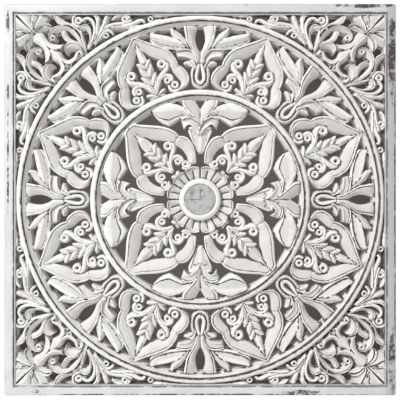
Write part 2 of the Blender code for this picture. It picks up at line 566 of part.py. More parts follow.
def carved_patches(step):
    """Every placed surface of the board, as (name, kind, grid of points)."""
    eighth = math.pi / 4
    ring = board_half() - RING_MARGIN - OUTER_RING_WIDTH
    least, most = drawn_reach((PALMETTE, ARCH), math.hypot)
    outside = ((least + PALMETTE_HOOP_LAP, most - PALMETTE_RING_LAP), (INNER_RING_RADIUS, ring))
    least, most = drawn_reach((LILY, INNER_ARCH), math.hypot)
    inside = ((least + LILY_ROSETTE_LAP, most - LILY_HOOP_LAP),
              (ROSETTE_RADIUS, INNER_RING_RADIUS - INNER_RING_WIDTH))
    corner = drawn_reach((CORNER,), lambda x, y: max(abs(x), abs(y)))[1] - CORNER_LAP
    everywhere = [eighth * k for k in range(8)]
    crosswise = [eighth * k for k in range(0, 8, 2)]
    found = []
    found += copies_of(PALMETTE, outside, everywhere, step, drawn_lines)
    found += copies_of(ARCH, outside, [a + eighth / 2 for a in everywhere], step, drawn_lines)
    found += copies_of(LILY, inside, crosswise, step, drawn_lines)
    found += copies_of(INNER_ARCH, inside, [a + eighth for a in crosswise], step, drawn_lines)
    found += corner_copies(CORNER, board_half() / corner, step, drawn_lines)
    # Carving that reaches the board's edge is cut off there
    for _, _, patch in found:
        np.clip(patch[..., :2], -board_half(), board_half(), out=patch[..., :2])
    for patch in border_patches():
        found.append(("border", "strip", patch))
    found.append(("outer_ring", "ring", ring_patch(outer_ring_rows(), 2 * OUTER_RING_SEGMENTS)))
    found.append(("inner_ring", "ring", ring_patch(inner_ring_rows(), 2 * INNER_RING_SEGMENTS)))
    found.append(("rosette", "boss", rosette_patch()))
    found.append(("boss", "boss", ring_patch(boss_rows(), 2 * BOSS_SEGMENTS)))
    return found


def boss_rows():
    face = BOSS_FACE_RADIUS
    width = BOSS_RADIUS - face
    return (
        (0.02 * face, BOSS_TOP - MM),
        (face - 0.06 * width, BOSS_TOP - MM),
        (face, BOSS_TOP - 2.2 * MM),
        (face + 0.08 * width, BOSS_TOP - 0.6 * MM),
        (face + 0.32 * width, BOSS_TOP),
        (face + 0.68 * width, (BOSS_TOP + BOSS_EDGE) / 2 + 0.6 * MM),
        (face + 0.95 * width, BOSS_EDGE),
        (BOSS_RADIUS, RING_EDGE),
    )


def outlines(kind, patch):
    """The plan outlines of a patch, each a closed row of points."""
    plan = patch[..., :2]
    if kind == "ring":
        return [plan[:-1, 0], plan[:-1, -1]]
    if kind in ("eye", "boss"):
        return [plan[:-1, -1]]
    return [np.vstack([plan[:, 0], plan[-1, 1:-1], plan[::-1, -1], plan[0, -2:0:-1]])]


class Relief:
    """The highest surface over any plan point."""

    def __init__(self, patches):
        points = []
        faces = []
        for _, _, patch in patches:
            rows, columns = patch.shape[:2]
            first = len(points)
            points += [tuple(p) for p in patch.reshape(-1, 3).tolist()]
            for i in range(rows - 1):
                for j in range(columns - 1):
                    a = first + i * columns + j
                    faces.append((a, a + 1, a + columns + 1))
                    faces.append((a, a + columns + 1, a + columns))
        self.tree = BVHTree.FromPolygons(points, faces)

    def height(self, x, y):
        """The height over a plan point, or None over an opening."""
        hit = self.tree.ray_cast(Vector((x, y, 1)), Vector((0, 0, -1)))[0]
        return None if hit is None else hit.z

    def nearest_height(self, x, y):
        """The height over a plan point, or that of the surface nearest to it."""
        here = self.height(x, y)
        if here is None:
            here = self.tree.find_nearest(Vector((x, y, real_height(RING_EDGE))))[0].z
        return here

    def height_near(self, x, y, reach):
        """Mean height of what lies just round a point on an edge."""
        found = []
        for k in range(8):
            angle = k * math.pi / 4
            here = self.height(x + reach * math.cos(angle), y + reach * math.sin(angle))
            if here is not None:
                found.append(here)
        return sum(found) / len(found) if found else self.nearest_height(x, y)


def triangulated(points, edges, faces=()):
    """Points, triangles turned counter-clockwise and the input faces each lies in."""
    result = delaunay_2d_cdt([Vector(p) for p in points], edges, list(faces), 0, 1e-6)
    plan = np.array([tuple(v) for v in result[0]])
    triangles = [tuple(f) for f in result[2]]
    return plan, triangles, result[5]


def boundary_loops(triangles):
    """Closed rows of vertices round the triangles, with the solid on the left."""
    directed = set()
    for a, b, c in triangles:
        directed.update(((a, b), (b, c), (c, a)))
    following = {}
    for a, b in sorted(directed):
        if (b, a) not in directed:
            following.setdefault(a, []).append(b)
    loops = []
    while following:
        start = next(iter(following))
        loop = [start]
        here = following[start].pop()
        if not following[start]:
            del following[start]
        while here != start:
            loop.append(here)
            onward = following[here].pop()
            if not following[here]:
                del following[here]
            here = onward
        loops.append(loop)
    return loops


def thinned(points, tolerance):
    """An open row of points without those that lie near the line through the rest.

    The tolerance is one number for each point.
    """
    if len(points) < 3:
        return points
    start = points[0]
    span = points[-1] - start
    length = np.linalg.norm(span)
    off = points[1:-1] - start
    if length < 1e-9:
        far = np.linalg.norm(off, axis=1)
    else:
        far = np.abs(off[:, 0] * span[1] - off[:, 1] * span[0]) / length
    far = far / tolerance[1:-1]
    i = int(np.argmax(far))
    if far[i] <= 1:
        return points[[0, -1]]
    cut = i + 1
    before = thinned(points[: cut + 1], tolerance[: cut + 1])
    return np.vstack([before[:-1], thinned(points[cut:], tolerance[cut:])])


def thinned_loop(points, tolerance):
    first = int(np.argmax(np.linalg.norm(points, axis=1)))
    around = np.roll(points, -first, axis=0)
    allowed = np.roll(tolerance, -first)
    cut = int(np.argmax(np.linalg.norm(around - around[0], axis=1)))
    closed = np.vstack([around, around[:1]])
    allowed = np.append(allowed, allowed[0])
    before = thinned(closed[: cut + 1], allowed[: cut + 1])
    return np.vstack([before[:-1], thinned(closed[cut:], allowed[cut:])[:-1]])


def loop_area(points):
    x = points[:, 0]
    y = points[:, 1]
    return 0.5 * float(np.sum(x * np.roll(y, -1) - y * np.roll(x, -1)))


def openings(patches, relief):
    """Plan outlines of the gaps between the strands."""
    points = []
    edges = []
    for _, kind, patch in patches:
        for line in outlines(kind, patch):
            first = len(points)
            count = len(line)
            points += [tuple(p) for p in line.tolist()]
            edges += [(first + i, first + (i + 1) % count) for i in range(count)]
    plan, triangles, _ = triangulated(points, edges)
    solid = []
    for tri in triangles:
        x, y = plan[list(tri)].mean(0)
        if relief.height(x, y) is not None:
            solid.append(tri)
    loops = [plan[loop] for loop in boundary_loops(solid)]
    return [loop for loop in loops if loop_area(loop) < 0]


def distance_to_lines(points, starts, ends):
    """Least distance from each point to any of the segments."""
    span = ends - starts
    size = np.maximum((span**2).sum(1), 1e-18)
    found = []
    for p in points:
        share = np.clip(((p - starts) * span).sum(1) / size, 0, 1)
        gap = starts + span * share[:, None] - p
        found.append(math.sqrt((gap**2).sum(1).min()))
    return np.array(found)


def thinned_openings(loops):
    """The larger openings with fewer corners. Slim strands between two of them stay whole."""
    kept = [loop for loop in loops if -loop_area(loop) > SMALLEST_OPENING]
    tree = KDTree(sum(map(len, kept)))
    owner = []
    for k, loop in enumerate(kept):
        for x, y in loop.tolist():
            tree.insert((x, y, 0), len(owner))
            owner.append(k)
    tree.balance()
    found = []
    for k, loop in enumerate(kept):
        allowed = []
        for x, y in loop.tolist():
            near = tree.find_range((x, y, 0), OUTLINE_TOLERANCE / STRAND_SHARE)
            others = [d for _, i, d in near if owner[i] != k]
            allowed.append(min([OUTLINE_TOLERANCE] + [STRAND_SHARE * d for d in others]))
        found.append(thinned_loop(loop, np.maximum(np.array(allowed), 1e-5)))
    return [loop for loop in found if len(loop) > 2 and loop_area(loop) < 0]


def ring_circles():
    """Radius and segments of the lines that the solid follows round the turned parts."""
    outer = outer_ring_rows()
    inner = inner_ring_rows()
    boss = boss_rows()
    return (
        (outer[2][0], OUTER_RING_SEGMENTS), (outer[3][0], OUTER_RING_SEGMENTS),
        (outer[5][0], OUTER_RING_SEGMENTS),
        (inner[2][0], INNER_RING_SEGMENTS), (inner[3][0], INNER_RING_SEGMENTS),
        (inner[5][0], INNER_RING_SEGMENTS),
        (boss[1][0], BOSS_SEGMENTS), (boss[4][0], BOSS_SEGMENTS), (boss[6][0], BOSS_SEGMENTS),
        (boss[7][0], BOSS_SEGMENTS),
    )


def guide_lines(patches):
    """Plan lines inside the board, most important first, as (points, closed, must keep)."""
    found = []
    for radius, segments in ring_circles():
        angle = (np.arange(segments) + 0.5) * 2 * math.pi / segments
        found.append((np.stack([np.sin(angle), np.cos(angle)], 1) * radius, True, True))
    pitch = 2 * math.pi / PETAL_COUNT
    for k in range(PETAL_COUNT):
        for turn, share in ((0, 0.75), (0.5, 0.8)):
            angle = (k + turn) * pitch
            radius = BOSS_RADIUS + (ROSETTE_RADIUS - PETAL_NOTCH - BOSS_RADIUS) * share
            place = np.array([[math.sin(angle), math.cos(angle)]]) * radius
            found.append((place, False, True))
    crest = board_half() - 0.5 * BORDER_WIDTH
    corners = np.array([(-1, -1), (1, -1), (1, 1), (-1, 1)]) * crest
    found.append((corners, True, True))
    ranked = []
    for name, kind, patch in patches:
        rows = patch.shape[0]
        if kind in CREST:
            columns = drawn_lines(kind)
            for rank, across in enumerate(CREST[kind]):
                share = (np.interp(across, columns, range(len(columns))))
                low = int(share)
                part = share - low
                high = min(low + 1, len(columns) - 1)
                line = patch[:, low, :2] * (1 - part) + patch[:, high, :2] * part
                skip = max(1, rows // 10)
                line = line[skip : rows - skip]
                if len(line) > 1:
                    length = np.linalg.norm(np.diff(line, axis=0), axis=1).sum()
                    allowed = np.full(len(line), LINE_TOLERANCE)
                    ranked.append((rank, -round(length, 4), thinned(line, allowed)))
        elif kind == "eye":
            ranked.append((0, 0, patch[:-1, 0, :2].mean(0)[None]))
    ranked.sort(key=lambda r: (r[0], r[1]))
    found += [(line, False, False) for _, _, line in ranked]
    return found


def plan_points(patches, relief, loops):
    """Corners and guide points of the board, the edges between them and the opening outlines."""
    half = board_half()
    points = [(-half, -half), (half, -half), (half, half), (-half, half)]
    edges = [(0, 1), (1, 2), (2, 3), (3, 0)]
    holes = []
    for loop in loops:
        first = len(points)
        count = len(loop)
        points += [tuple(p) for p in loop.tolist()]
        edges += [(first + i, first + (i + 1) % count) for i in range(count)]
        holes.append([first + i for i in reversed(range(count))])
    corners = np.array(points)
    starts = corners[[a for a, _ in edges]]
    ends = corners[[b for _, b in edges]]
    placed = np.full((MOST_GUIDE_POINTS, 2), np.inf)
    count = 0
    for line, closed, leading in guide_lines(patches):
        chosen = []
        clearance = EDGE_CLEARANCE * (LEADING_SHARE if leading else 1)
        clear = distance_to_lines(line, starts, ends) > clearance
        first = count
        for place, free in zip(line, clear):
            if free and not leading:
                free = np.hypot(*(placed[:first] - place).T).min(initial=1) > POINT_SPACING
            if not free or relief.height(*place) is None:
                chosen.append(None)
                continue
            chosen.append(len(points))
            points.append(tuple(place.tolist()))
            placed[count] = place
            count += 1
        following = chosen[1:] + (chosen[:1] if closed else [])
        for a, b in zip(chosen, following):
            if a is None or b is None or a == b:
                continue
            along = points[a] + np.outer((0.25, 0.5, 0.75), np.subtract(points[b], points[a]))
            if distance_to_lines(along, starts, ends).min() > EDGE_CLEARANCE * CHORD_SHARE:
                edges.append((a, b))
    return points, edges, holes


def board_mesh():
    """Vertices and faces of the carved board as one closed body."""
    patches = carved_patches(OUTLINE_STEP)
    relief = Relief(patches)
    loops = thinned_openings(openings(patches, relief))
    points, edges, holes = plan_points(patches, relief, loops)
    plan, triangles, owners = triangulated(points, edges, holes)
    front = [tri for tri, inside in zip(triangles, owners) if not inside]
    rims = boundary_loops(front)
    on_rim = sorted({i for rim in rims for i in rim})
    place = {i: k for k, i in enumerate(on_rim)}
    rim_edges = []
    rim_holes = []
    for rim in rims:
        ring = [place[i] for i in rim]
        rim_edges += list(zip(ring, ring[1:] + ring[:1]))
        if loop_area(plan[rim]) < 0:
            rim_holes.append(ring[::-1])
    _, triangles, owners = triangulated(plan[on_rim], rim_edges, rim_holes)
    back = [tri for tri, inside in zip(triangles, owners) if not inside]
    verts = []
    for i, (x, y) in enumerate(plan.tolist()):
        height = relief.height_near(x, y, EDGE_REACH) if i in place else relief.nearest_height(x, y)
        verts.append((x, -height, y))
    base = len(verts)
    verts += [(float(plan[i][0]), 0.0, float(plan[i][1])) for i in on_rim]
    faces = [tuple(tri) for tri in front]
    faces += [tuple(base + i for i in reversed(tri)) for tri in back]
    for rim in rims:
        for a, b in zip(rim, rim[1:] + rim[:1]):
            low_a = base + place[a]
            low_b = base + place[b]
            faces += [(b, a, low_a), (b, low_a, low_b)]
    return verts, faces


def frame_loop(half, radius, depth):
    """Square outline at one depth, with rounded corners where a radius is given."""
    steps = CORNER_STEPS if radius else 0
    found = []
    for quarter, (sx, sy) in enumerate(((1, -1), (1, 1), (-1, 1), (-1, -1))):
        for k in range(steps + 1):
            angle = math.pi / 2 * (quarter - 1 + (k / steps if steps else 0.5))
            x = sx * (half - radius) + radius * math.cos(angle)
            y = sy * (half - radius) + radius * math.sin(angle)
            found.append((x, -depth, y))
    return found


def stitched(first, second, offset_first, offset_second):
    """Triangles between two loops of four corners each, either of them rounded."""
    n = len(first)
    m = len(second)
    faces = []
    for corner in range(4):
        a = [corner * n // 4 + i for i in range(n // 4)]
        b = [corner * m // 4 + i for i in range(m // 4)]
        for i in range(max(len(a), len(b)) - 1):
            here = a[min(i, len(a) - 1)]
            there = b[min(i, len(b) - 1)]
            if i + 1 < len(a):
                faces.append((offset_first + here, offset_first + a[i + 1], offset_second + there))
                here = a[i + 1]
            if i + 1 < len(b):
                faces.append((offset_first + here, offset_second + b[i + 1], offset_second + there))
        end_a = offset_first + a[-1]
        end_b = offset_second + b[-1]
        next_a = offset_first + (corner + 1) * n // 4 % n
        next_b = offset_second + (corner + 1) * m // 4 % m
        faces.append((end_a, next_a, next_b))
        faces.append((end_a, next_b, end_b))
    return faces


def frame_mesh():
    outer = PANEL_SIDE / 2
    inner = outer - FRAME_WIDTH
    cut = FRAME_CHAMFER
    radius = FRAME_CORNER_RADIUS
    low = FRAME_DEPTH - cut
    loops = [
        frame_loop(outer, radius, 0),
        frame_loop(outer, radius, low),
        frame_loop(outer - cut, radius - cut, FRAME_DEPTH),
        frame_loop(inner + cut, 0, FRAME_DEPTH),
        frame_loop(inner, 0, low),
        frame_loop(inner, 0, 0),
    ]
    verts = []
    starts = []
    for loop in loops:
        starts.append(len(verts))
        verts += loop
    faces = []
    for k in range(len(loops)):
        after = (k + 1) % len(loops)
        faces += stitched(loops[k], loops[after], starts[k], starts[after])
    return verts, faces


def painted(name, colour):
    material = bpy.data.materials.new(name)
    material.use_nodes = True
    shader = material.node_tree.nodes["Principled BSDF"]
    shader.inputs["Base Color"].default_value = (*colour, 1)
    shader.inputs["Roughness"].default_value = PAINT_ROUGHNESS
    return material


def add_piece(name, verts, faces, material):
    mesh = bpy.data.meshes.new(name)
    mesh.from_pydata(verts, [], faces)
    mesh.update()
    mesh.materials.append(material)
    piece = bpy.data.objects.new(name, mesh)
    bpy.context.scene.collection.objects.link(piece)
    return piece


for old in list(bpy.data.objects):
    bpy.data.objects.remove(old, do_unlink=True)
add_piece("frame", *frame_mesh(), painted("frame_paint", FRAME_COLOUR))
add_piece("carved_panel", *board_mesh(), painted("board_paint", BOARD_COLOUR))
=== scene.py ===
"""Looks of the square openwork wall panel: the fine carving, its worn white paint and the frame."""

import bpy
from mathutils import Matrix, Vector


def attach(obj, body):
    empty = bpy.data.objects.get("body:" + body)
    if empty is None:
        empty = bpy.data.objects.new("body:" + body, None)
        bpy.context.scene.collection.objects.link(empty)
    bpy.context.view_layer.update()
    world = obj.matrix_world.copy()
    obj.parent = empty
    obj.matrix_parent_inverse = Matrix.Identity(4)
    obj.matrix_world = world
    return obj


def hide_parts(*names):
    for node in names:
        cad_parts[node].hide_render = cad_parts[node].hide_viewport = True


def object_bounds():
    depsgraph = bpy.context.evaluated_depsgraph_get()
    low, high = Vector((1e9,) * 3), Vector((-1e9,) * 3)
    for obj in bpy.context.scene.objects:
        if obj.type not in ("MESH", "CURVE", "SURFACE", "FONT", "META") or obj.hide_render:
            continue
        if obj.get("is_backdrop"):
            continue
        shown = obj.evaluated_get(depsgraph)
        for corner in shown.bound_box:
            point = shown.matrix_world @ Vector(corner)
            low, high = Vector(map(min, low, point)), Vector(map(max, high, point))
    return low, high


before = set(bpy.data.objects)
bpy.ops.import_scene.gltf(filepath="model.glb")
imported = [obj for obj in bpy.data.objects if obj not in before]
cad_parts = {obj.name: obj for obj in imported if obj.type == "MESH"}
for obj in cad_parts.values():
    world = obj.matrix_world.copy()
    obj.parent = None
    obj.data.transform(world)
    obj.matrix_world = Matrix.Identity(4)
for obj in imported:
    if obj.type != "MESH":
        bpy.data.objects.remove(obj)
cad_box = [tuple(c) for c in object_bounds()]

import math

import bpy
import numpy as np
from mathutils import Vector, noise
from mathutils.bvhtree import BVHTree
from mathutils.geometry import delaunay_2d_cdt
from mathutils.kdtree import KDTree

MM = 0.001

# Overall sizes
PANEL_SIDE = 0.900
BOARD_DEPTH = 0.025

# Frame
FRAME_WIDTH = 0.020
FRAME_DEPTH = 0.025
FRAME_CORNER_RADIUS = 0.004
CORNER_STEPS = 2
OUTER_ARRIS = 0.0012
INNER_ARRIS = 0.0015
ARRIS_STEPS = 4
JOINT_GAP = 0.0003

# Border strip and rings of the carved board
BORDER_WIDTH = 0.0045
RING_MARGIN = 0.0028
OUTER_RING_WIDTH = 0.0265
OUTER_RING_BEAD = 0.0145
OUTER_RING_SEGMENTS = 96
INNER_RING_RADIUS = 0.2555
INNER_RING_WIDTH = 0.0245
INNER_RING_BEAD = 0.0150
INNER_RING_SEGMENTS = 80

# Rosette
PETAL_COUNT = 12
ROSETTE_RADIUS = 0.0785
PETAL_NOTCH = 0.0060
BOSS_RADIUS = 0.0495
BOSS_FACE_RADIUS = 0.0355
BOSS_SEGMENTS = 48
# The boss's seam is turned off the upright middle line by this angle
BOSS_TURN = 0.03

# Relief heights above the back, for a board of the drawn depth
RING_TOP = 0.0245
RING_GROOVE = 0.0195
GROOVE_HALF = 0.0015
RING_EDGE = 0.0165
ROSETTE_TOP = 0.0230
PETAL_SEAT = 0.0140
PETAL_DEPTH = 0.0042
BOSS_TOP = 0.0250
BOSS_EDGE = 0.0210
BORDER_TOP = 0.0225

# How far the drawn strands run under the parts that they join, and past the board's edge
PALMETTE_RING_LAP = 0.0066
PALMETTE_HOOP_LAP = 0.0095
LILY_HOOP_LAP = 0.0055
LILY_ROSETTE_LAP = 0.0035
CORNER_LAP = 0.0178
# The depth of the board that the strands' heights are drawn for
DRAWN_DEPTH = 0.025

# Fineness of the carved mesh
FINE_STEP = 0.0039
# Points nearer than this become one. Square cells are used to find them
MERGE = 0.00060
CELL = 0.0010
# Points keep this far from the outlines, which are sampled at the second distance
RIM_CLEAR = 0.0004
RIM_SAMPLE = 0.0010
RIM_TOLERANCE = 0.00038
# Points keep this far inside the board's edge, where corners stand at the second distance
EDGE_CLEAR = 0.0002
EDGE_SPACING = 0.02
# Area of the smallest gap that stays open, in square metres
LEAST_GAP = 0.00004
# A point is hidden where another strand lies this much above it
COVERED = 0.00015
VALLEY_STEPS = 6
# States of a point: outside the board, in sight, or under another strand
OUTSIDE, SHOWN, HIDDEN = range(3)
# Edges that turn by more than these angles in degrees stay sharp
BOARD_CREASE = 52
BAR_CREASE = 40

# Fine waver of the hand-carved surface, as height and size
CARVE_WAVER = 0.00025
WAVER_SIZE = 0.015
# Map of heights: the size of its cells, then reaches counted in cells
MAP_STEP = 0.0010
GROOVE_REACH = 2
SUNK_REACH = 4
SUNK_BLUR = 6
# Depths at which a groove is fully dark and a place is fully sunk, and how dark a groove and a crease
# under another strand get. The dark of grooves and creases is partly old grime and partly painted
# shade; sunk places get painted shade.
GROOVE_FULL = 0.0035
SUNK_FULL = 0.0120
GROOVE_INK = 0.8
CREVICE_INK = 0.7

# Height across a strand, from its lip side (-1) to its other side (1), as parts of its relief
PROFILES = {
    "round": ((-1, 0.35), (-0.7, 0.78), (-0.25, 0.98), (0, 1), (0.25, 0.98), (0.7, 0.78), (1, 0.35)),
    "leaf": ((-1, 0.5), (-0.6, 0.7), (-0.1, 0.97), (0, 1), (0.1, 0.97), (0.6, 0.7), (1, 0.5)),
    "vein": ((-1, 0.65), (-0.9, 0.9), (-0.74, 1), (-0.65, 0.96), (-0.61, 0.66), (-0.52, 0.66),
             (-0.47, 0.9), (-0.1, 0.82), (0.4, 0.55), (0.9, 0.22), (1, 0.12)),
    "scoop": ((-1, 0.7), (-0.9, 0.95), (-0.76, 1), (-0.68, 0.92), (-0.63, 0.35), (-0.53, 0.35),
              (-0.45, 0.55), (0, 0.45), (0.45, 0.62), (0.75, 0.95), (0.9, 0.95), (1, 0.7)),
    "wing": ((-1, 0.45), (-0.93, 0.64), (-0.62, 0.84), (-0.56, 0.8), (-0.53, 0.4), (-0.46, 0.4),
             (-0.42, 0.82), (0, 0.9), (0.6, 1), (0.92, 0.95), (1, 0.7)),
    "spear": ((-1, 0.3), (-0.88, 0.45), (-0.06, 0.98), (0, 1), (0.06, 0.98), (0.88, 0.45),
              (1, 0.3)),
    "slit": ((-1, 0.55), (-0.9, 0.75), (-0.5, 0.8), (-0.16, 1), (-0.09, 0.9), (-0.05, 0.1),
             (0.05, 0.1), (0.09, 0.9), (0.16, 1), (0.5, 0.8), (0.9, 0.75), (1, 0.55)),
    "split": ((-1, 0.7), (-0.9, 0.95), (-0.72, 0.85), (-0.38, 0.6), (-0.31, 0), (-0.17, 0),
              (-0.1, 0.95), (0.02, 1), (0.35, 0.7), (0.75, 0.45), (1, 0.3)),
    "half": ((-1, 0.9), (-0.86, 0.95), (-0.74, 0.97), (-0.55, 1), (0, 0.85), (0.6, 0.6), (0.9, 0.45),
             (1, 0.3)),
    "loop": ((-1, 0.5), (-0.9, 0.74), (-0.5, 0.84), (-0.16, 0.78), (-0.1, 0.2), (0.06, 0.2),
             (0.14, 0.85), (0.4, 1), (0.72, 0.94), (0.9, 0.72), (1, 0.4)),
    "bud": ((-1, 0.55), (-0.93, 0.85), (-0.84, 0.9), (-0.78, 0.5), (-0.7, 0.5), (-0.35, 0.78),
            (0, 1), (0.35, 0.78), (0.7, 0.5), (0.78, 0.5), (0.84, 0.9), (0.93, 0.85), (1, 0.55)),
    "ground": ((-1, 1), (0, 1), (1, 1)),
}
# Height across a volute eye, from its centre (0) to its edge (1)
EYE_PROFILE = ((0, 0.25), (0.16, 0.3), (0.3, 0.5), (0.45, 0.9), (0.62, 1), (0.86, 0.86), (1, 0.45))
# Petal section: place between its notches (-1 to 1) and height share
PETAL_PROFILE = ((-1, 0), (-0.94, 0.1), (-0.85, 0.95), (-0.74, 1), (-0.4, 0.75), (-0.12, 0.5),
                 (-0.05, 0.1), (0.05, 0.1), (0.12, 0.5), (0.4, 0.75), (0.74, 1), (0.85, 0.95),
                 (0.94, 0.1), (1, 0))
# Along a petal: share of its length, how much of the middle valley is left, and the lip's drop
PETAL_REACH = ((0, 1, 0), (0.25, 1, 0), (0.5, 1, 0), (0.66, 0.6, 0.1), (0.8, 0.3, 0.2),
               (0.9, 0.3, 0.35), (0.95, 0, -0.3), (0.98, 0, -0.2), (1, 0, 0.6))
PETAL_VALLEY = 0.2

# How dark the lines of each surface are painted, partly as old grime and partly as painted shade in the
# cuts, and which of its lines are lips that get a painted highlight
STRAND_INK = {
    "vein": {-0.61: 0.42, -0.52: 0.32}, "scoop": {-0.63: 0.5, -0.53: 0.4},
    "wing": {-0.53: 0.5, -0.46: 0.4}, "slit": {-0.05: 1, 0.05: 1},
    "split": {-0.31: 0.6, -0.17: 0.5}, "loop": {-0.1: 0.9, 0.06: 0.9},
    "bud": {-0.78: 0.3, -0.7: 0.3, 0.7: 0.3, 0.78: 0.3},
}
STRAND_LIPS = {
    "vein": (-0.9, -0.74), "scoop": (-0.9, -0.76, 0.75, 0.9), "wing": (-0.93, -0.62, 0.6, 0.92),
    "slit": (-0.16, 0.16), "split": (-0.9, 0.02), "half": (-0.74, -0.55), "loop": (0.4, 0.72),
    "bud": (-0.93, -0.84, 0, 0.84, 0.93), "spear": (0,), "round": (-0.25, 0, 0.25), "leaf": (0,),
}
EYE_INK = {0: 0.75, 0.16: 0.7, 0.3: 0.25}
EYE_LIPS = (0.45, 0.62)
# The same for the turned parts and the petals, where rows are counted from the inner edge
RING_INK = {2: 0.25, 3: 1.0, 4: 0.5}
RING_LIPS = (5, 6)
BOSS_INK = {2: 1.0}
BOSS_LIPS = (3, 4, 5)
PETAL_INK = {-1: 1.0, -0.94: 0.7, -0.05: 1.0, 0.05: 1.0, 0.94: 0.7, 1: 1.0}
PETAL_WEDGE_ROWS = 4
PETAL_RIM_ROW = 5
PETAL_RIM_INK = 0.55
PETAL_LIP_ROWS = (6, 7)

# Colours of the board's paint, grime and bare wood, and of its painted highlight and painted shade
WHITE = (0.79, 0.78, 0.76, 1)
WARM = (0.70, 0.685, 0.66, 1)
# Painted highlight of the lips
LIP_HIGHLIGHT = (0.94, 0.935, 0.92, 1)
# Grey for a random darker tone and for the painted shade of sunk places, the back and the walls
SHADE = (0.42, 0.41, 0.395, 1)
# Near black of the grime and of the painted shade in the cuts, also used for the boss's scribed lines
GRIME_AND_SHADE = (0.035, 0.028, 0.028, 1)
MAROON = (0.060, 0.022, 0.026, 1)
WOOD = (0.085, 0.050, 0.045, 1)
BOSS_GREY = (0.56, 0.56, 0.565, 1)
BOSS_DARK = (0.17, 0.17, 0.18, 1)
# Scribed lines on the boss's face, as middle, then half width and half height
BOSS_LINES = (((0, 0.016), (0.0009, 0.018)), ((-0.012, 0), (0.021, 0.0010)))

# Colours of the bar
BAR_WHITE = (0.79, 0.79, 0.795, 1)
BAR_GREY = (0.70, 0.70, 0.71, 1)
BAR_SHADE = (0.60, 0.59, 0.595, 1)
BAR_RIM = (0.34, 0.335, 0.34, 1)
BAR_WOOD = (0.055, 0.042, 0.052, 1)
# Worn places on the frame's bar: middle x and z, half width and half height
WORN = (
    (0.441, 0.325, 0.009, 0.100), (0.441, -0.375, 0.009, 0.080), (-0.442, 0.405, 0.004, 0.035),
    (-0.442, 0.248, 0.003, 0.020), (-0.442, 0.078, 0.003, 0.135), (0.380, 0.446, 0.065, 0.006),
    (-0.380, -0.441, 0.012, 0.006), (0.227, -0.443, 0.052, 0.007), (0.448, 0.0, 0.002, 0.44),
    (0.0, -0.448, 0.44, 0.002),
)
# Distances from the middle of the panel: the joint, the shaded right side and the outer arris
JOINT = 0.4301
RIGHT_SHADE = (0.425, 0.432)
OUTER_RIM = (0.4476, 0.4492)
# Distances past the joint at which its smudge and its dark line end and are full
SMUDGE_REACH = (0.0040, 0.0008)
LINE_REACH = (0.0018, 0.0006)

# Noise in the paint, in repeats a metre
BROAD_NOISE = 14
PATCH_NOISE = 42
FINE_NOISE = 260
STROKE_NOISE = (90, 90, 420)
MOTTLE_NOISE = 75
RED_NOISE = 21
BREAK_NOISE = 55
BAR_BROAD_NOISE = 9
BAR_STREAK_NOISE = 120
BAR_SMEAR_NOISE = 30
# Depths between which wear fades out towards the back
WEAR_DEPTH = (0.010, 0.014)

# Camera: its distance from the front, the width that it sees there and the middle of its view
CAMERA_REACH = 0.93
VIEW_WIDTH = 0.9195
VIEW_CENTRE = (-0.0005, -0.0009)
SENSOR_WIDTH = 36
# The shaded wall behind the openings: its spread, and its colours outwards from the middle
WALL_SPREAD = 0.475
WALL_SHADES = ((0.0, (0.118, 0.110, 0.098, 1)), (0.30, (0.105, 0.097, 0.085, 1)),
               (0.42, (0.075, 0.069, 0.060, 1)), (0.60, (0.045, 0.041, 0.036, 1)))
# Light
FRONT_FILL = 0.23
BACK_FILL = 0.35
KEY_PLACE = (-3.4, -3.2, 3.8)
KEY_SIZE = 1.3
KEY_WATTS = 385
KEY_COLOUR = (1.0, 0.99, 0.98)
LOWER_PLACE = (1.8, -2.2, -1.5)
LOWER_AIM = (0.1, 0, -0.1)
LOWER_SIZE = 0.9
LOWER_WATTS = 12
# Floor
FLOOR_LEVEL = -0.62
FLOOR_HALF = 2
FLOOR_BACK = 0.18
FLOOR_COLOUR = (0.8, 0.8, 0.79)

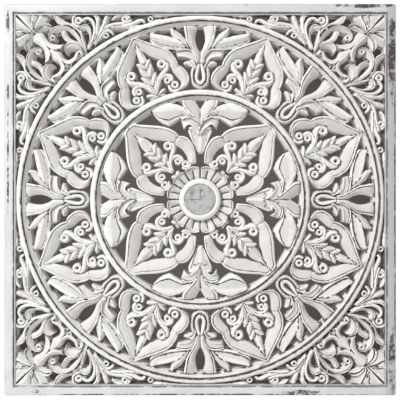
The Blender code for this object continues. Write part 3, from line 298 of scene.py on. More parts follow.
# Strands: name, kind, top and edge height in millimetres above the back, then the stations along it
# in millimetres. A station is x, y and half width, or the two edge points x, y, x, y. In the round
# motifs x runs sideways and y out from the centre, and one half is drawn. In the corner x runs to
# the right and y up from the panel's centre, and the half above the diagonal is drawn.
ARCH = (
    ("band", "vein", 23.5, 15,
     ((-1.5, 407.5, -4.5, 387), (8.5, 399.5, 3.5, 378.5), (18, 391, 9, 366.5), (28, 382, 16, 358),
      (41.5, 371, 25, 347.5), (54.5, 358.5, 35.5, 338), (65.5, 345.5, 45, 330.5),
      (71.5, 329.5, 51, 322.5), (73.5, 315.5, 53, 311.5), (71.5, 303.5, 54.5, 301.5))),
    ("lobe", "vein", 23, 15,
     ((69.5, 308.5, 54.5, 305), (78.5, 300.5, 55, 298), (84, 288.5, 58.5, 287.5),
      (86, 275, 62.5, 276), (82.5, 264, 62.5, 267.5), (73, 256, 58.5, 262), (60.5, 252, 53, 259.5),
      (46.5, 249.5, 47, 258.5))),
    ("wrap", "round", 20, 14,
     ((58, 255, 3.5), (45, 254, 4.5), (36.5, 258, 4.5), (34, 266.5, 4), (35.5, 274.5, 3))),
    ("lobe_eye", "eye", 20.5, 13,
     ((48, 268, 10),)),
    ("spear", "spear", 21, 14,
     ((0, 400, 1), (0, 387, 3.5), (0, 368.5, 7.5), (0, 348, 9.5), (0, 336, 9.5))),
    ("tendril", "round", 21.5, 13.5,
     ((48.5, 326, 3.5), (48, 316, 6.5), (41, 307, 7), (28.5, 301, 6), (18.5, 294, 5),
      (10.5, 283, 3.5), (3.5, 269, 2.5), (0.5, 261, 1.5))),
    ("tendril_eye", "eye", 21.5, 13,
     ((38, 324, 12),)),
    ("curl", "round", 20.5, 13.5,
     ((3.5, 264.5, 2), (10, 277, 3.5), (19, 289.5, 4), (29, 296, 4.5), (38.5, 296.5, 4.5),
      (46, 291, 5), (47, 283, 4.5), (42.5, 277.5, 3.5))),
    ("curl_eye", "eye", 19.5, 13,
     ((36, 284.5, 9.5),)),
    ("leaf_core", "leaf", 17, 13,
     ((0, 261, 2), (0, 278, 5.5), (0, 297, 9), (0, 315.5, 11.5), (0, 331.5, 12.5), (0, 343, 9.5))),
    ("leaf_top", "leaf", 22.5, 14.5,
     ((-1.5, 327, 3), (5, 332.5, 6.5), (11.5, 340, 6), (17, 346.5, 1))),
    ("leaf_mid", "leaf", 22, 14.5,
     ((-1.5, 305, 3), (5, 314, 6.5), (10.5, 324, 6.5), (15.5, 335, 1))),
    ("leaf_low", "leaf", 21.5, 14.5,
     ((-1.5, 284, 3), (6, 294.5, 6.5), (12.5, 304.5, 6), (19, 314, 1))),
    ("leaf_base", "leaf", 21, 14.5,
     ((-0.5, 261, 2), (3, 273.5, 4.5), (6.5, 286.5, 5.5), (10, 297, 4.5))),
    ("foot", "leaf", 19, 13.5,
     ((-2.5, 256, 3.5), (8, 263, 4.5), (16.5, 266.5, 4.5), (24, 268.5, 3))),
    ("foot_base", "leaf", 17.5, 13,
     ((-2.5, 253, 7), (9.5, 254, 7), (19, 252.5, 6))),
)
PALMETTE = (
    ("tube", "vein", 24, 15,
     ((39.5, 403.5, 5, 407), (38, 395.5, 7.5, 397), (35.5, 387, 10.5, 388.5),
      (34, 374.5, 12, 374.5), (29.5, 361.5, 9.5, 360.5), (22.5, 350, 4.5, 348),
      (16, 339, -2.5, 338.5), (11, 328, -2.5, 327), (9.5, 313, -2.5, 313))),
    ("wing", "wing", 22, 14.5,
     ((117, 377, 116, 387), (114.5, 364.5, 106.5, 384), (103, 356.5, 92.5, 381.5),
      (88, 351, 76.5, 378.5), (70.5, 347, 61.5, 374.5), (53.5, 346, 46.5, 370),
      (36, 346, 33.5, 363), (21, 345.5, 25.5, 353.5))),
    ("wing_tip", "leaf", 23.5, 15,
     ((69.5, 397, 65.5, 399.5), (68, 383, 56.5, 391.5), (64, 374.5, 45.5, 384.5),
      (55.5, 367.5, 36, 375.5), (45, 360.5, 30.5, 365), (30, 349, 23, 352.5))),
    ("hook", "scoop", 23, 14.5,
     ((57.5, 344, 52.5, 330.5), (47.5, 348, 44, 330), (35, 349, 33.5, 329), (23, 347.5, 24.5, 326),
      (15, 338.5, 18, 320), (8, 326, 13, 310.5), (6, 313, 9.5, 303.5))),
    ("sprout", "leaf", 20, 13.5,
     ((9.5, 301.5, 3), (17.5, 310.5, 5.5), (27.5, 316, 6), (38.5, 316.5, 2.5))),
    ("sprout_high", "leaf", 20.5, 14,
     ((8, 303.5, 3), (14.5, 313.5, 4), (21.5, 321, 3), (25.5, 323, 1.5))),
    ("loop", "loop", 20.5, 14,
     ((5, 320, 6), (8.5, 308.5, 8.5), (12, 297, 9.5), (13.5, 283.5, 8.5), (10.5, 272, 9),
      (2, 265, 9.5), (-6, 265, 9.5))),
)
INNER_ARCH = (
    ("band", "vein", 23.5, 15,
     ((-4.5, 236.5, -4.5, 213.5), (14.5, 233.5, 4.5, 204), (22.5, 222.5, 10, 193.5),
      (32.5, 211.5, 15.5, 185), (46.5, 196, 22, 174), (58, 181, 31.5, 162.5), (66, 166, 40, 152),
      (70.5, 150.5, 45, 141.5), (70, 138, 48.5, 133.5))),
    ("lobe", "vein", 23, 15,
     ((68, 140.5, 47.5, 137), (77, 131, 50, 125), (81, 118.5, 52.5, 113.5), (79, 104.5, 51.5, 102),
      (73.5, 90.5, 48, 90.5), (65.5, 79.5, 42.5, 82.5), (54.5, 67, 37, 74))),
    ("wrap", "round", 20, 14,
     ((45, 76.5, 4), (35, 72, 3.5), (25.5, 76.5, 3.5), (24, 83.5, 3))),
    ("lobe_eye", "eye", 20.5, 13,
     ((34, 82, 9.5),)),
    ("spear", "spear", 21, 14,
     ((0, 220.5, 1), (0, 204, 5), (0, 185.5, 11.5), (0, 167, 12.5), (0, 155.5, 11.5))),
    ("tendril", "round", 21.5, 13.5,
     ((45, 141.5, 3.5), (44, 131.5, 6.5), (36, 124, 6.5), (25, 118.5, 5.5), (15, 112.5, 4.5),
      (7, 102, 3.5), (0.5, 87, 2.5))),
    ("tendril_eye", "eye", 21.5, 13,
     ((35, 140, 11.5),)),
    ("curl", "round", 20.5, 13.5,
     ((3, 94, 2.5), (8, 102.5, 3.5), (16, 110.5, 4), (24.5, 112.5, 4.5), (33, 109, 5),
      (37, 101, 4.5), (35.5, 92.5, 4), (29.5, 89.5, 3))),
    ("curl_eye", "eye", 19.5, 13,
     ((26, 99, 9),)),
    ("leaf_core", "leaf", 17, 13,
     ((0, 87, 2), (0, 102, 6), (0, 116, 9.5), (0, 132, 13.5), (0, 148.5, 15), (0, 162.5, 11.5))),
    ("leaf_top", "leaf", 22.5, 14.5,
     ((-1.5, 146, 3), (6, 154, 6.5), (13, 161, 6), (20.5, 166, 1))),
    ("leaf_mid", "leaf", 22, 14.5,
     ((-1.5, 130, 3), (6, 138.5, 7), (12, 147, 6.5), (17, 156.5, 1))),
    ("leaf_low", "leaf", 21.5, 14.5,
     ((-1.5, 112.5, 3), (6, 120, 6.5), (13.5, 126.5, 6), (21.5, 132, 1))),
    ("leaf_base", "leaf", 21, 14.5,
     ((-0.5, 88, 2), (3, 99.5, 4.5), (7, 109, 5.5), (10.5, 118.5, 4.5))),
    ("foot", "leaf", 17.5, 13,
     ((-2.5, 80, 5), (6, 81, 4.5), (11.5, 82.5, 3))),
)
LILY = (
    ("tube", "vein", 24, 15,
     ((41, 232.5, 13, 232.5), (41, 218, 7.5, 222.5), (31, 206, 0.5, 211),
      (19.5, 193.5, -2.5, 201.5), (9.5, 182, -2.5, 188), (3.5, 171.5, -2.5, 174))),
    ("wing", "wing", 22.5, 14.5,
     ((108.5, 196, 112, 205.5), (97.5, 184, 102, 211.5), (83.5, 174.5, 86, 219.5),
      (72, 170.5, 72, 223.5), (59.5, 178, 58, 221.5), (47.5, 186, 45.5, 217),
      (35, 189.5, 31.5, 209.5), (22, 188, 17.5, 198))),
    ("hook", "scoop", 23.5, 15,
     ((45.5, 186, 38, 163), (36, 191, 32, 169.5), (25.5, 192.5, 24.5, 172.5),
      (15, 188.5, 17.5, 168), (7, 181.5, 10.5, 163), (0, 171.5, 4.5, 156.5), (-2.5, 160, 1, 149.5))),
    ("sepal", "leaf", 21, 14.5,
     ((-2, 147, 4), (8, 158.5, 6), (17.5, 165.5, 6), (27, 163.5, 3.5))),
    ("bud", "bud", 20, 13.5,
     ((0, 166, 21), (0, 161, 28), (0, 150.5, 25), (0, 139, 21), (0, 127.5, 16), (0, 116, 10.5),
      (0, 107.5, 6.5))),
)
CORNER = (
    ("heart", "slit", 22.5, 16,
     ((-432.5, 432.5, 14), (-422, 422, 25.5), (-409.5, 409.5, 24), (-402.5, 402.5, 14.5),
      (-396.5, 396.5, 9), (-389.5, 389.5, 4.5), (-382.5, 382.5, 3))),
    ("heart_side", "leaf", 21.5, 14.5,
     ((-385.5, 394, 2), (-388.5, 408, 3), (-387, 419.5, 4.5), (-388.5, 433.5, 7))),
    ("leaf_a", "split", 21.5, 14.5,
     ((-386, 385, -380.5, 383.5), (-390, 396.5, -375, 395), (-391.5, 409.5, -364, 407),
      (-388.5, 421, -356, 415), (-382.5, 432.5, -350.5, 432.5))),
    ("leaf_b", "split", 22.6, 15,
     ((-382, 383.5, -377.5, 377.5), (-377.5, 395, -370, 385), (-367.5, 404.5, -362.5, 388.5),
      (-357, 408, -354.5, 390), (-348, 406, -347.5, 392), (-340.5, 399.5, -341, 395.5))),
    ("stem", "half", 23, 15,
     ((-382.5, 382.5, -374.5, 388.5), (-374.5, 374.5, -364.5, 385), (-366.5, 366.5, -357.5, 374),
      (-357, 357, -349.5, 366.5), (-348.5, 350, -342, 361.5), (-339.5, 346, -332.5, 359),
      (-330, 346, -323.5, 358.5), (-321, 350, -317, 360), (-316, 358, -314.5, 361))),
    ("scroll", "vein", 22.8, 15,
     ((-339.5, 362, -341, 368.5), (-348.5, 366.5, -345, 372.5), (-352, 377, -345, 378),
      (-349.5, 387.5, -339.5, 381.5), (-341, 396.5, -332.5, 385), (-329.5, 401.5, -323, 388.5),
      (-316.5, 402.5, -313.5, 390.5), (-303.5, 399.5, -304.5, 389), (-291, 392.5, -295, 381.5),
      (-280.5, 380.5, -286.5, 372), (-274, 366.5, -280, 361.5), (-269.5, 352.5, -274.5, 351.5),
      (-265.5, 343, -269, 342))),
    ("scroll_eye", "eye", 21, 13.5,
     ((-341.5, 374, 8),)),
    ("spray", "vein", 21.6, 14.5,
     ((-323, 390, -310.5, 392.5), (-320.5, 381, -308, 383.5), (-316.5, 372.5, -303.5, 376.5),
      (-311, 366.5, -297.5, 371.5), (-302.5, 363.5, -290.5, 368.5), (-291, 362.5, -283, 366.5),
      (-280.5, 357, -276.5, 360), (-272, 348, -269.5, 350))),
    ("toe", "round", 22.4, 15.5,
     ((-281.5, 344.5, 2), (-277, 342, 4), (-273.5, 338, 4), (-272, 334, 2))),
    ("crescent", "vein", 22.2, 14.5,
     ((-311.5, 338, -308.5, 339), (-314.5, 346.5, -307, 343), (-313, 356, -302.5, 347),
      (-305.5, 363, -296, 348.5), (-295.5, 364.5, -289, 348.5), (-285, 360.5, -282.5, 347),
      (-276.5, 352, -277.5, 345), (-268.5, 342, -272.5, 340))),
    ("under", "half", 22.4, 14.5,
     ((-348, 348, -343, 351.5), (-339.5, 339.5, -333, 345.5), (-331.5, 331.5, -322, 340.5),
      (-324.5, 324.5, -318, 331), (-316.5, 317, -312, 325.5), (-307, 312.5, -304.5, 324),
      (-297.5, 314, -297.5, 326.5), (-290, 319.5, -292.5, 331), (-284.5, 328.5, -290, 336.5),
      (-281.5, 337, -287, 342), (-278, 341.5, -280, 345.5))),
    ("heel", "round", 18, 13.5,
     ((-317.5, 317.5, 3), (-312, 311, 2.5), (-309, 303.5, 2), (-306, 298, 2))),
    ("vine", "vein", 21.9, 14.5,
     ((-339.5, 433.5, -326, 433.5), (-336.5, 419, -323, 423), (-331, 408, -315, 415.5),
      (-321, 403, -304.5, 410), (-307, 402.5, -294.5, 408), (-293.5, 397, -286, 402.5),
      (-282.5, 387.5, -277.5, 393), (-276, 375.5, -272, 379), (-271.5, 362.5, -268, 364.5),
      (-267.5, 348.5, -265, 349.5))),
    ("vine_eye", "eye", 21, 13.5,
     ((-281.5, 414, 10),)),
    ("vine_cup", "round", 21, 14,
     ((-276, 400, 2.5), (-286.5, 401.5, 4), (-294, 410, 3.5), (-293.5, 421, 3.5), (-286, 429, 3.5),
      (-273.5, 433.5, 3.5))),
    ("vine_floor", "ground", 13, 12.5,
     ((-289.5, 407, 3.5), (-288.5, 417.5, 5), (-283.5, 426.5, 4.5))),
    ("crown", "round", 22.2, 14.5,
     ((-275, 407.5, 2.5), (-270, 415, 4), (-261, 419, 4.5), (-252, 415.5, 4.5), (-246, 406, 4.5),
      (-244, 394, 4), (-246, 379, 4), (-252.5, 361.5, 4), (-259.5, 345.5, 3.5))),
    ("crown_out", "round", 21, 14,
     ((-261, 432.5, 3), (-248, 428.5, 3), (-241, 421, 3), (-238, 408, 3), (-240, 392, 3),
      (-246, 373.5, 3), (-252.5, 357, 3), (-259.5, 344.5, 2.5))),
    ("crown_in", "vein", 22.6, 15,
     ((-280.5, 394, -276.5, 389.5), (-276, 401.5, -271, 390), (-265.5, 405.5, -264, 390),
      (-255.5, 400, -259.5, 387), (-250.5, 388.5, -257, 380.5), (-251.5, 372, -257.5, 368.5),
      (-256.5, 356.5, -262, 356), (-262.5, 343, -265.5, 343))),
    ("crown_left", "round", 21.5, 14.5,
     ((-278, 393, 3), (-275, 382.5, 3), (-271.5, 367.5, 3), (-266.5, 352.5, 3), (-264.5, 342, 3))),
    ("crown_neck", "ground", 13, 12.5,
     ((-250.5, 424.5, 3.5), (-242.5, 415, 3.5), (-241, 399, 3), (-244.5, 380.5, 3))),
    ("plume_a", "leaf", 21.5, 14.5,
     ((-244.5, 366.5, 4), (-239, 385, 5), (-236.5, 403.5, 5.5), (-237, 419.5, 5.5),
      (-241, 431.5, 4.5))),
    ("plume_b", "leaf", 21.5, 14.5,
     ((-247, 357, 3.5), (-234, 380.5, 5), (-225.5, 397.5, 5.5), (-218.5, 414, 6), (-214.5, 429, 5))),
    ("plume_c", "leaf", 21.5, 14.5,
     ((-241, 372, 4), (-227, 389.5, 5), (-213.5, 399.5, 5.5), (-199.5, 404.5, 5), (-183, 406.5, 5),
      (-167, 410.5, 5), (-155.5, 415, 3.5))),
    ("plume_c_tip", "round", 21, 14,
     ((-204, 415, 3), (-193.5, 424, 4.5), (-179.5, 426.5, 5), (-166.5, 424, 4.5), (-162.5, 416, 3.5))),
    ("plume_eye", "eye", 21, 13.5,
     ((-174, 418, 9),)),
    ("plume_d", "leaf", 21.5, 14.5,
     ((-244.5, 357, 3.5), (-234, 372, 5.5), (-225, 383.5, 6.5), (-214.5, 391, 5.5), (-205, 387, 4),
      (-200.5, 380.5, 3))),
    ("plume_d_eye", "eye", 21, 13.5,
     ((-217.5, 379.5, 8),)),
    ("tail", "round", 21, 14,
     ((-183, 401, 3), (-167, 403, 5), (-153, 408, 6), (-141.5, 413.5, 5.5), (-132, 414, 4),
      (-127.5, 407, 3))),
    ("tail_web", "leaf", 21.5, 14.5,
     ((-208.5, 397.5, 3.5), (-185.5, 399, 3.5), (-157.5, 397.5, 5), (-134.5, 401, 5.5))),
    ("end_eye", "eye", 21, 13.5,
     ((-114.5, 417.5, 7.5),)),
    ("end_wrap", "round", 21, 14,
     ((-120.5, 431.5, 3.5), (-104.5, 426.5, 5.5), (-92.5, 426, 5), (-69.5, 429, 3.5))),
    ("end_foot", "leaf", 21.5, 14.5,
     ((-120.5, 409.5, 5), (-104.5, 411.5, 4.5), (-88, 415.5, 3.5))),
    ("end_ground", "ground", 13, 12.5,
     ((-109, 421, 8), (-81, 424, 6.5), (-51, 428, 5), (-18.5, 429, 4))),
    ("crown_ground", "ground", 13, 12.5,
     ((-301.5, 430, 3.5), (-283, 428, 7), (-259.5, 428, 8), (-234, 429, 6.5), (-220.5, 430, 5.5),
      (-204, 428, 7), (-192.5, 429, 5))),
    ("crown_floor", "ground", 13, 12.5,
     ((-295.5, 395.5, 3), (-284, 396.5, 5), (-276.5, 402.5, 3.5))),
    ("web_floor", "ground", 13, 12.5,
     ((-320, 320, 3.5), (-309.5, 312, 9.5), (-295.5, 316, 9.5), (-279.5, 328.5, 10.5),
      (-261, 343, 7))),
)


def drawn_reach(motifs, measure):
    """Least and greatest distance from the centre that the strands of some motifs reach."""
    least = math.inf
    most = 0.0
    for motif in motifs:
        for _, _, _, _, stations in motif:
            for station in stations:
                if len(station) == 4:
                    found = [measure(*station[:2]), measure(*station[2:])]
                else:
                    middle = measure(*station[:2])
                    found = [middle - station[2], middle + station[2]]
                least = min([least] + found)
                most = max([most] + found)
    return least * MM, most * MM


def stretched(value, drawn, real):
    """The radius that stands for a drawn radius when a ring's edges move."""
    share = (value - drawn[0]) / (drawn[1] - drawn[0])
    return real[0] + share * (real[1] - real[0])


def spline(points):
    """A smooth curve through control rows, with rows about one step apart."""
    rows = np.array(points, float)
    padded = np.vstack([2 * rows[0] - rows[1], rows, 2 * rows[-1] - rows[-2]])
    found = []
    for i in range(1, len(padded) - 2):
        before, start, end, after = padded[i - 1 : i + 3]
        count = max(2, math.ceil(np.linalg.norm((end - start)[:2]) / FINE_STEP))
        for k in range(count):
            t = k / count
            found.append(
                0.5 * (2 * start + (end - before) * t
                       + (2 * before - 5 * start + 4 * end - after) * t**2
                       + (3 * start - before - 3 * end + after) * t**3)
            )
    found.append(padded[-2])
    return np.array(found)


def edge_curves(stations):
    """The two edge curves of a strand in its own drawing."""
    curve = spline(stations)
    if curve.shape[1] == 4:
        return curve[:, :2], curve[:, 2:]
    middle = curve[:, :2]
    along = np.gradient(middle, axis=0)
    along /= np.linalg.norm(along, axis=1)[:, None]
    side = np.stack([-along[:, 1], along[:, 0]], 1)
    return middle + side * curve[:, 2:], middle - side * curve[:, 2:]


def real_height(drawn):
    return drawn * BOARD_DEPTH / DRAWN_DEPTH


def ribbon_patch(first, second, kind, top, low):
    """Grid of 3-D points between two edge curves. Its ends fall away as a carved tip does."""
    across, rise = np.array(PROFILES[kind]).T
    share = ((across + 1) / 2)[None, :, None]
    plan = first[:, None] * (1 - share) + second[:, None] * share
    middle = (first + second) / 2
    half = np.linalg.norm(first - second, axis=1) / 2
    run = np.concatenate([[0], np.cumsum(np.linalg.norm(np.diff(middle, axis=0), axis=1))])
    near_end = np.minimum(run, run[-1] - run)
    part = np.clip(near_end / np.maximum(half, MM), 0, 1)
    ease = 0.3 + 0.7 * np.sqrt(1 - (1 - part) ** 2)
    height = real_height(low + (top - low) * rise[None, :] * ease[:, None])
    return np.dstack([plan, height])


def eye_patch(centre, radius, top, low):
    """Round volute end: a raised rim round a sunk hollow."""
    profile = np.array(EYE_PROFILE)
    around = max(10, round(radius * 6 / FINE_STEP))
    angle = np.linspace(0, 2 * math.pi, around + 1)
    reach = profile[:, 0] * radius
    reach[0] = radius * 0.02
    x = centre[0] + reach[None, :] * np.cos(angle)[:, None]
    y = centre[1] + reach[None, :] * np.sin(angle)[:, None]
    height = real_height(low + (top - low) * profile[:, 1])
    return np.dstack([x, y, np.broadcast_to(height, x.shape)])


def strand_patch(kind, top, low, stations):
    """The surface of one drawn strand before it is placed."""
    if kind == "eye":
        x, y, radius = (v * MM for v in stations[0])
        return eye_patch((x, y), radius, top * MM, low * MM)
    first, second = edge_curves(np.array(stations) * MM)
    return ribbon_patch(first, second, kind, top * MM, low * MM)


def turned(plan, angle):
    """Plan points turned clockwise as seen from the front."""
    c = math.cos(angle)
    s = math.sin(angle)
    return np.stack([plan[..., 0] * c + plan[..., 1] * s, plan[..., 1] * c - plan[..., 0] * s], -1)


def copies_of(motif, zone, angles):
    """Every placed copy of a round motif: its left and right halves at each angle."""
    for name, kind, top, low, stations in motif:
        on_axis = kind != "eye" and all(s[0] == 0 for s in stations)
        patch = strand_patch(kind, top, low, stations)
        radius = np.hypot(patch[..., 0], patch[..., 1])
        patch[..., :2] *= (stretched(radius, *zone) / radius)[..., None]
        for angle in angles:
            for side in (1,) if on_axis else (1, -1):
                plan = turned(patch[..., :2] * (side, 1), angle)
                yield name, kind, np.dstack([plan, patch[..., 2]])


def corner_copies(motif, scale):
    """Every placed copy of the corner motif: both sides of its diagonal in each corner."""
    for name, kind, top, low, stations in motif:
        on_axis = kind != "eye" and all(s[0] == -s[1] for s in stations)
        patch = strand_patch(kind, top, low, stations)
        for quarter in range(4):
            for over in (False,) if on_axis else (False, True):
                plan = patch[..., :2] * scale
                if over:
                    plan = -plan[..., ::-1]
                yield name, kind, np.dstack([turned(plan, quarter * math.pi / 2), patch[..., 2]])


def ring_patch(rows, segments, start=0.0):
    """Turned moulding from rows of radius and height."""
    angle = start + np.linspace(0, 2 * math.pi, segments + 1)
    radius = np.array([r for r, _ in rows])
    height = real_height(np.array([h for _, h in rows]))
    x = radius[None, :] * np.sin(angle)[:, None]
    y = radius[None, :] * np.cos(angle)[:, None]
    return np.dstack([x, y, np.broadcast_to(height, x.shape)])


def board_half():
    return PANEL_SIDE / 2 - FRAME_WIDTH - JOINT_GAP


def ring_rows(outer, width, bead):
    """Radius and height across a ring, from its inner edge to its outer edge."""
    inner = outer - width
    groove = outer - bead
    slope = groove - inner
    return (
        (inner, RING_EDGE),
        (inner + 0.5 * slope, (RING_EDGE + RING_TOP) / 2 - MM),
        (groove - GROOVE_HALF, RING_TOP - 2 * MM),
        (groove, RING_GROOVE),
        (groove + GROOVE_HALF, RING_TOP - MM),
        (groove + 0.45 * bead, RING_TOP),
        (groove + 0.75 * bead, RING_TOP - 1.5 * MM),
        (outer - 0.08 * bead, RING_GROOVE),
        (outer, RING_EDGE),
    )


def boss_rows():
    """Radius and height across the boss: a flat face, a groove and a rounded rim."""
    face = BOSS_FACE_RADIUS
    width = BOSS_RADIUS - face
    return (
        (0.02 * face, BOSS_TOP - MM),
        (face - 0.06 * width, BOSS_TOP - MM),
        (face, BOSS_TOP - 2.2 * MM),
        (face + 0.08 * width, BOSS_TOP - 0.6 * MM),
        (face + 0.32 * width, BOSS_TOP),
        (face + 0.68 * width, (BOSS_TOP + BOSS_EDGE) / 2 + 0.6 * MM),
        (face + 0.95 * width, BOSS_EDGE),
        (BOSS_RADIUS, RING_EDGE),
    )


def border_patches():
    """Four mitred strips along the board's edge."""
    half = board_half()
    rows = (
        (half, BORDER_TOP - 1.5 * MM),
        (half - 0.3 * BORDER_WIDTH, BORDER_TOP),
        (half - 0.7 * BORDER_WIDTH, BORDER_TOP),
        (half - BORDER_WIDTH, RING_EDGE),
    )
    for quarter in range(4):
        plan = np.array([[(-r, r) for r, _ in rows], [(r, r) for r, _ in rows]])
        height = np.array([[real_height(h) for _, h in rows]] * 2)
        yield np.dstack([turned(plan, quarter * math.pi / 2), height])


def rosette_patch():
    """Petals fanned round the boss. They rise outwards, each with a lip, a valley and a notch."""
    inner = BOSS_RADIUS * 0.9
    turns = [(k, place, share) for k in range(PETAL_COUNT) for place, share in PETAL_PROFILE[:-1]]
    grid = []
    for k, place, share in turns + [(PETAL_COUNT, *PETAL_PROFILE[0])]:
        angle = 2 * math.pi / PETAL_COUNT * (k + (place + 1) / 2)
        tip = ROSETTE_RADIUS - PETAL_NOTCH * abs(place) ** 2.5
        row = []
        for reach, fade, drop in PETAL_REACH:
            radius = inner + (tip - inner) * reach
            cut = 1 - share
            if abs(place) < PETAL_VALLEY:
                cut *= fade
            rise = PETAL_SEAT + (ROSETTE_TOP - PETAL_SEAT) * reach - PETAL_DEPTH * (cut + drop)
            row.append((radius * math.sin(angle), radius * math.cos(angle), real_height(rise)))
        grid.append(row)
    return np.array(grid)


def carved_patches():
    """Every placed surface of the board, as (name, kind, grid of points)."""
    eighth = math.pi / 4
    half = board_half()
    outer = half - RING_MARGIN
    least, most = drawn_reach((PALMETTE, ARCH), math.hypot)
    outside = ((least + PALMETTE_HOOP_LAP, most - PALMETTE_RING_LAP),
               (INNER_RING_RADIUS, outer - OUTER_RING_WIDTH))
    least, most = drawn_reach((LILY, INNER_ARCH), math.hypot)
    inside = ((least + LILY_ROSETTE_LAP, most - LILY_HOOP_LAP),
              (ROSETTE_RADIUS, INNER_RING_RADIUS - INNER_RING_WIDTH))
    corner = drawn_reach((CORNER,), lambda x, y: max(abs(x), abs(y)))[1] - CORNER_LAP
    everywhere = [eighth * k for k in range(8)]
    crosswise = [eighth * k for k in range(0, 8, 2)]
    found = []
    found += copies_of(PALMETTE, outside, everywhere)
    found += copies_of(ARCH, outside, [a + eighth / 2 for a in everywhere])
    found += copies_of(LILY, inside, crosswise)
    found += copies_of(INNER_ARCH, inside, [a + eighth for a in crosswise])
    found += corner_copies(CORNER, half / corner)
    # Carving that reaches the board's edge is cut off there
    for _, _, patch in found:
        np.clip(patch[..., :2], -half, half, out=patch[..., :2])
    for patch in border_patches():
        found.append(("border", "strip", patch))
    rows = ring_rows(outer, OUTER_RING_WIDTH, OUTER_RING_BEAD)
    found.append(("outer_ring", "ring", ring_patch(rows, OUTER_RING_SEGMENTS)))
    rows = ring_rows(INNER_RING_RADIUS, INNER_RING_WIDTH, INNER_RING_BEAD)
    found.append(("inner_ring", "ring", ring_patch(rows, INNER_RING_SEGMENTS)))
    found.append(("rosette", "boss", rosette_patch()))
    found.append(("boss", "boss", ring_patch(boss_rows(), BOSS_SEGMENTS, BOSS_TURN)))
    return found


def outlines(kind, patch):
    """The plan outlines of a patch, each a closed row of points."""
    plan = patch[..., :2]
    if kind == "ring":
        return [plan[:-1, 0], plan[:-1, -1]]
    if kind in ("eye", "boss"):
        return [plan[:-1, -1]]
    return [np.vstack([plan[:, 0], plan[-1, 1:-1], plan[::-1, -1], plan[0, -2:0:-1]])]


class Relief:
    """The highest surface over any plan point."""

    def __init__(self, patches):
        points = []
        faces = []
        for _, _, patch in patches:
            rows, columns = patch.shape[:2]
            first = len(points)
            points += [tuple(p) for p in patch.reshape(-1, 3).tolist()]
            for i in range(rows - 1):
                for j in range(columns - 1):
                    a = first + i * columns + j
                    faces.append((a, a + 1, a + columns + 1))
                    faces.append((a, a + columns + 1, a + columns))
        self.tree = BVHTree.FromPolygons(points, faces)

    def height(self, x, y):
        """The height over a plan point, or None over an opening."""
        hit = self.tree.ray_cast(Vector((x, y, 1)), Vector((0, 0, -1)))[0]
        return None if hit is None else hit.z

    def nearest_height(self, x, y):
        """The height over a plan point, or that of the surface nearest to it."""
        here = self.height(x, y)
        if here is None:
            here = self.tree.find_nearest(Vector((x, y, real_height(RING_EDGE))))[0].z
        return here


def triangulated(points, edges, holes=()):
    """Points, and triangles between the edges, turned counter-clockwise and outside the holes."""
    result = delaunay_2d_cdt([Vector(p) for p in points], edges, list(holes), 0, 1e-6)
    plan = np.array([tuple(v) for v in result[0]])
    return plan, [tuple(face) for face, inside in zip(result[2], result[5]) if not inside]


def boundary_loops(triangles):
    """Closed rows of vertices round the triangles, with the solid on the left."""
    directed = set()
    for a, b, c in triangles:
        directed.update(((a, b), (b, c), (c, a)))
    following = {}
    for a, b in sorted(directed):
        if (b, a) not in directed:
            following.setdefault(a, []).append(b)
    loops = []
    while following:
        start = next(iter(following))
        loop = [start]
        here = following[start].pop()
        if not following[start]:
            del following[start]
        while here != start:
            loop.append(here)
            onward = following[here].pop()
            if not following[here]:
                del following[here]
            here = onward
        loops.append(loop)
    return loops


def thinned(points):
    """An open row of points without those that lie near the line through the rest."""
    if len(points) < 3:
        return points
    start = points[0]
    span = points[-1] - start
    length = np.linalg.norm(span)
    off = points[1:-1] - start
    if length < 1e-9:
        far = np.linalg.norm(off, axis=1)
    else:
        far = np.abs(off[:, 0] * span[1] - off[:, 1] * span[0]) / length
    far = far / RIM_TOLERANCE
    i = int(np.argmax(far))
    if far[i] <= 1:
        return points[[0, -1]]
    cut = i + 1
    return np.vstack([thinned(points[: cut + 1])[:-1], thinned(points[cut:])])


def thinned_loop(points):
    """A closed row of points thinned in two halves, between places far from each other."""
    first = int(np.argmax(np.linalg.norm(points, axis=1)))
    around = np.roll(points, -first, axis=0)
    cut = int(np.argmax(np.linalg.norm(around - around[0], axis=1)))
    closed = np.vstack([around, around[:1]])
    return np.vstack([thinned(closed[: cut + 1])[:-1], thinned(closed[cut:])[:-1]])


def loop_area(points):
    """Area in a closed row of points, less than zero where it runs clockwise."""
    x = points[:, 0]
    y = points[:, 1]
    return 0.5 * float(np.sum(x * np.roll(y, -1) - y * np.roll(x, -1)))


def openings(patches, relief):
    """Plan outlines of the gaps between the strands."""
    points = []
    edges = []
    for _, kind, patch in patches:
        for line in outlines(kind, patch):
            first = len(points)
            count = len(line)
            points += [tuple(p) for p in line.tolist()]
            edges += [(first + i, first + (i + 1) % count) for i in range(count)]
    plan, triangles = triangulated(points, edges)
    solid = []
    for tri in triangles:
        x, y = plan[list(tri)].mean(0)
        if relief.height(x, y) is not None:
            solid.append(tri)
    loops = [plan[loop] for loop in boundary_loops(solid)]
    return [thinned_loop(loop) for loop in loops if -loop_area(loop) > LEAST_GAP]


def sampled(first, second, count):
    """Points between two plan places, both left out."""
    share = (np.arange(count) + 1)[:, None] / (count + 1)
    return first + (second - first) * share


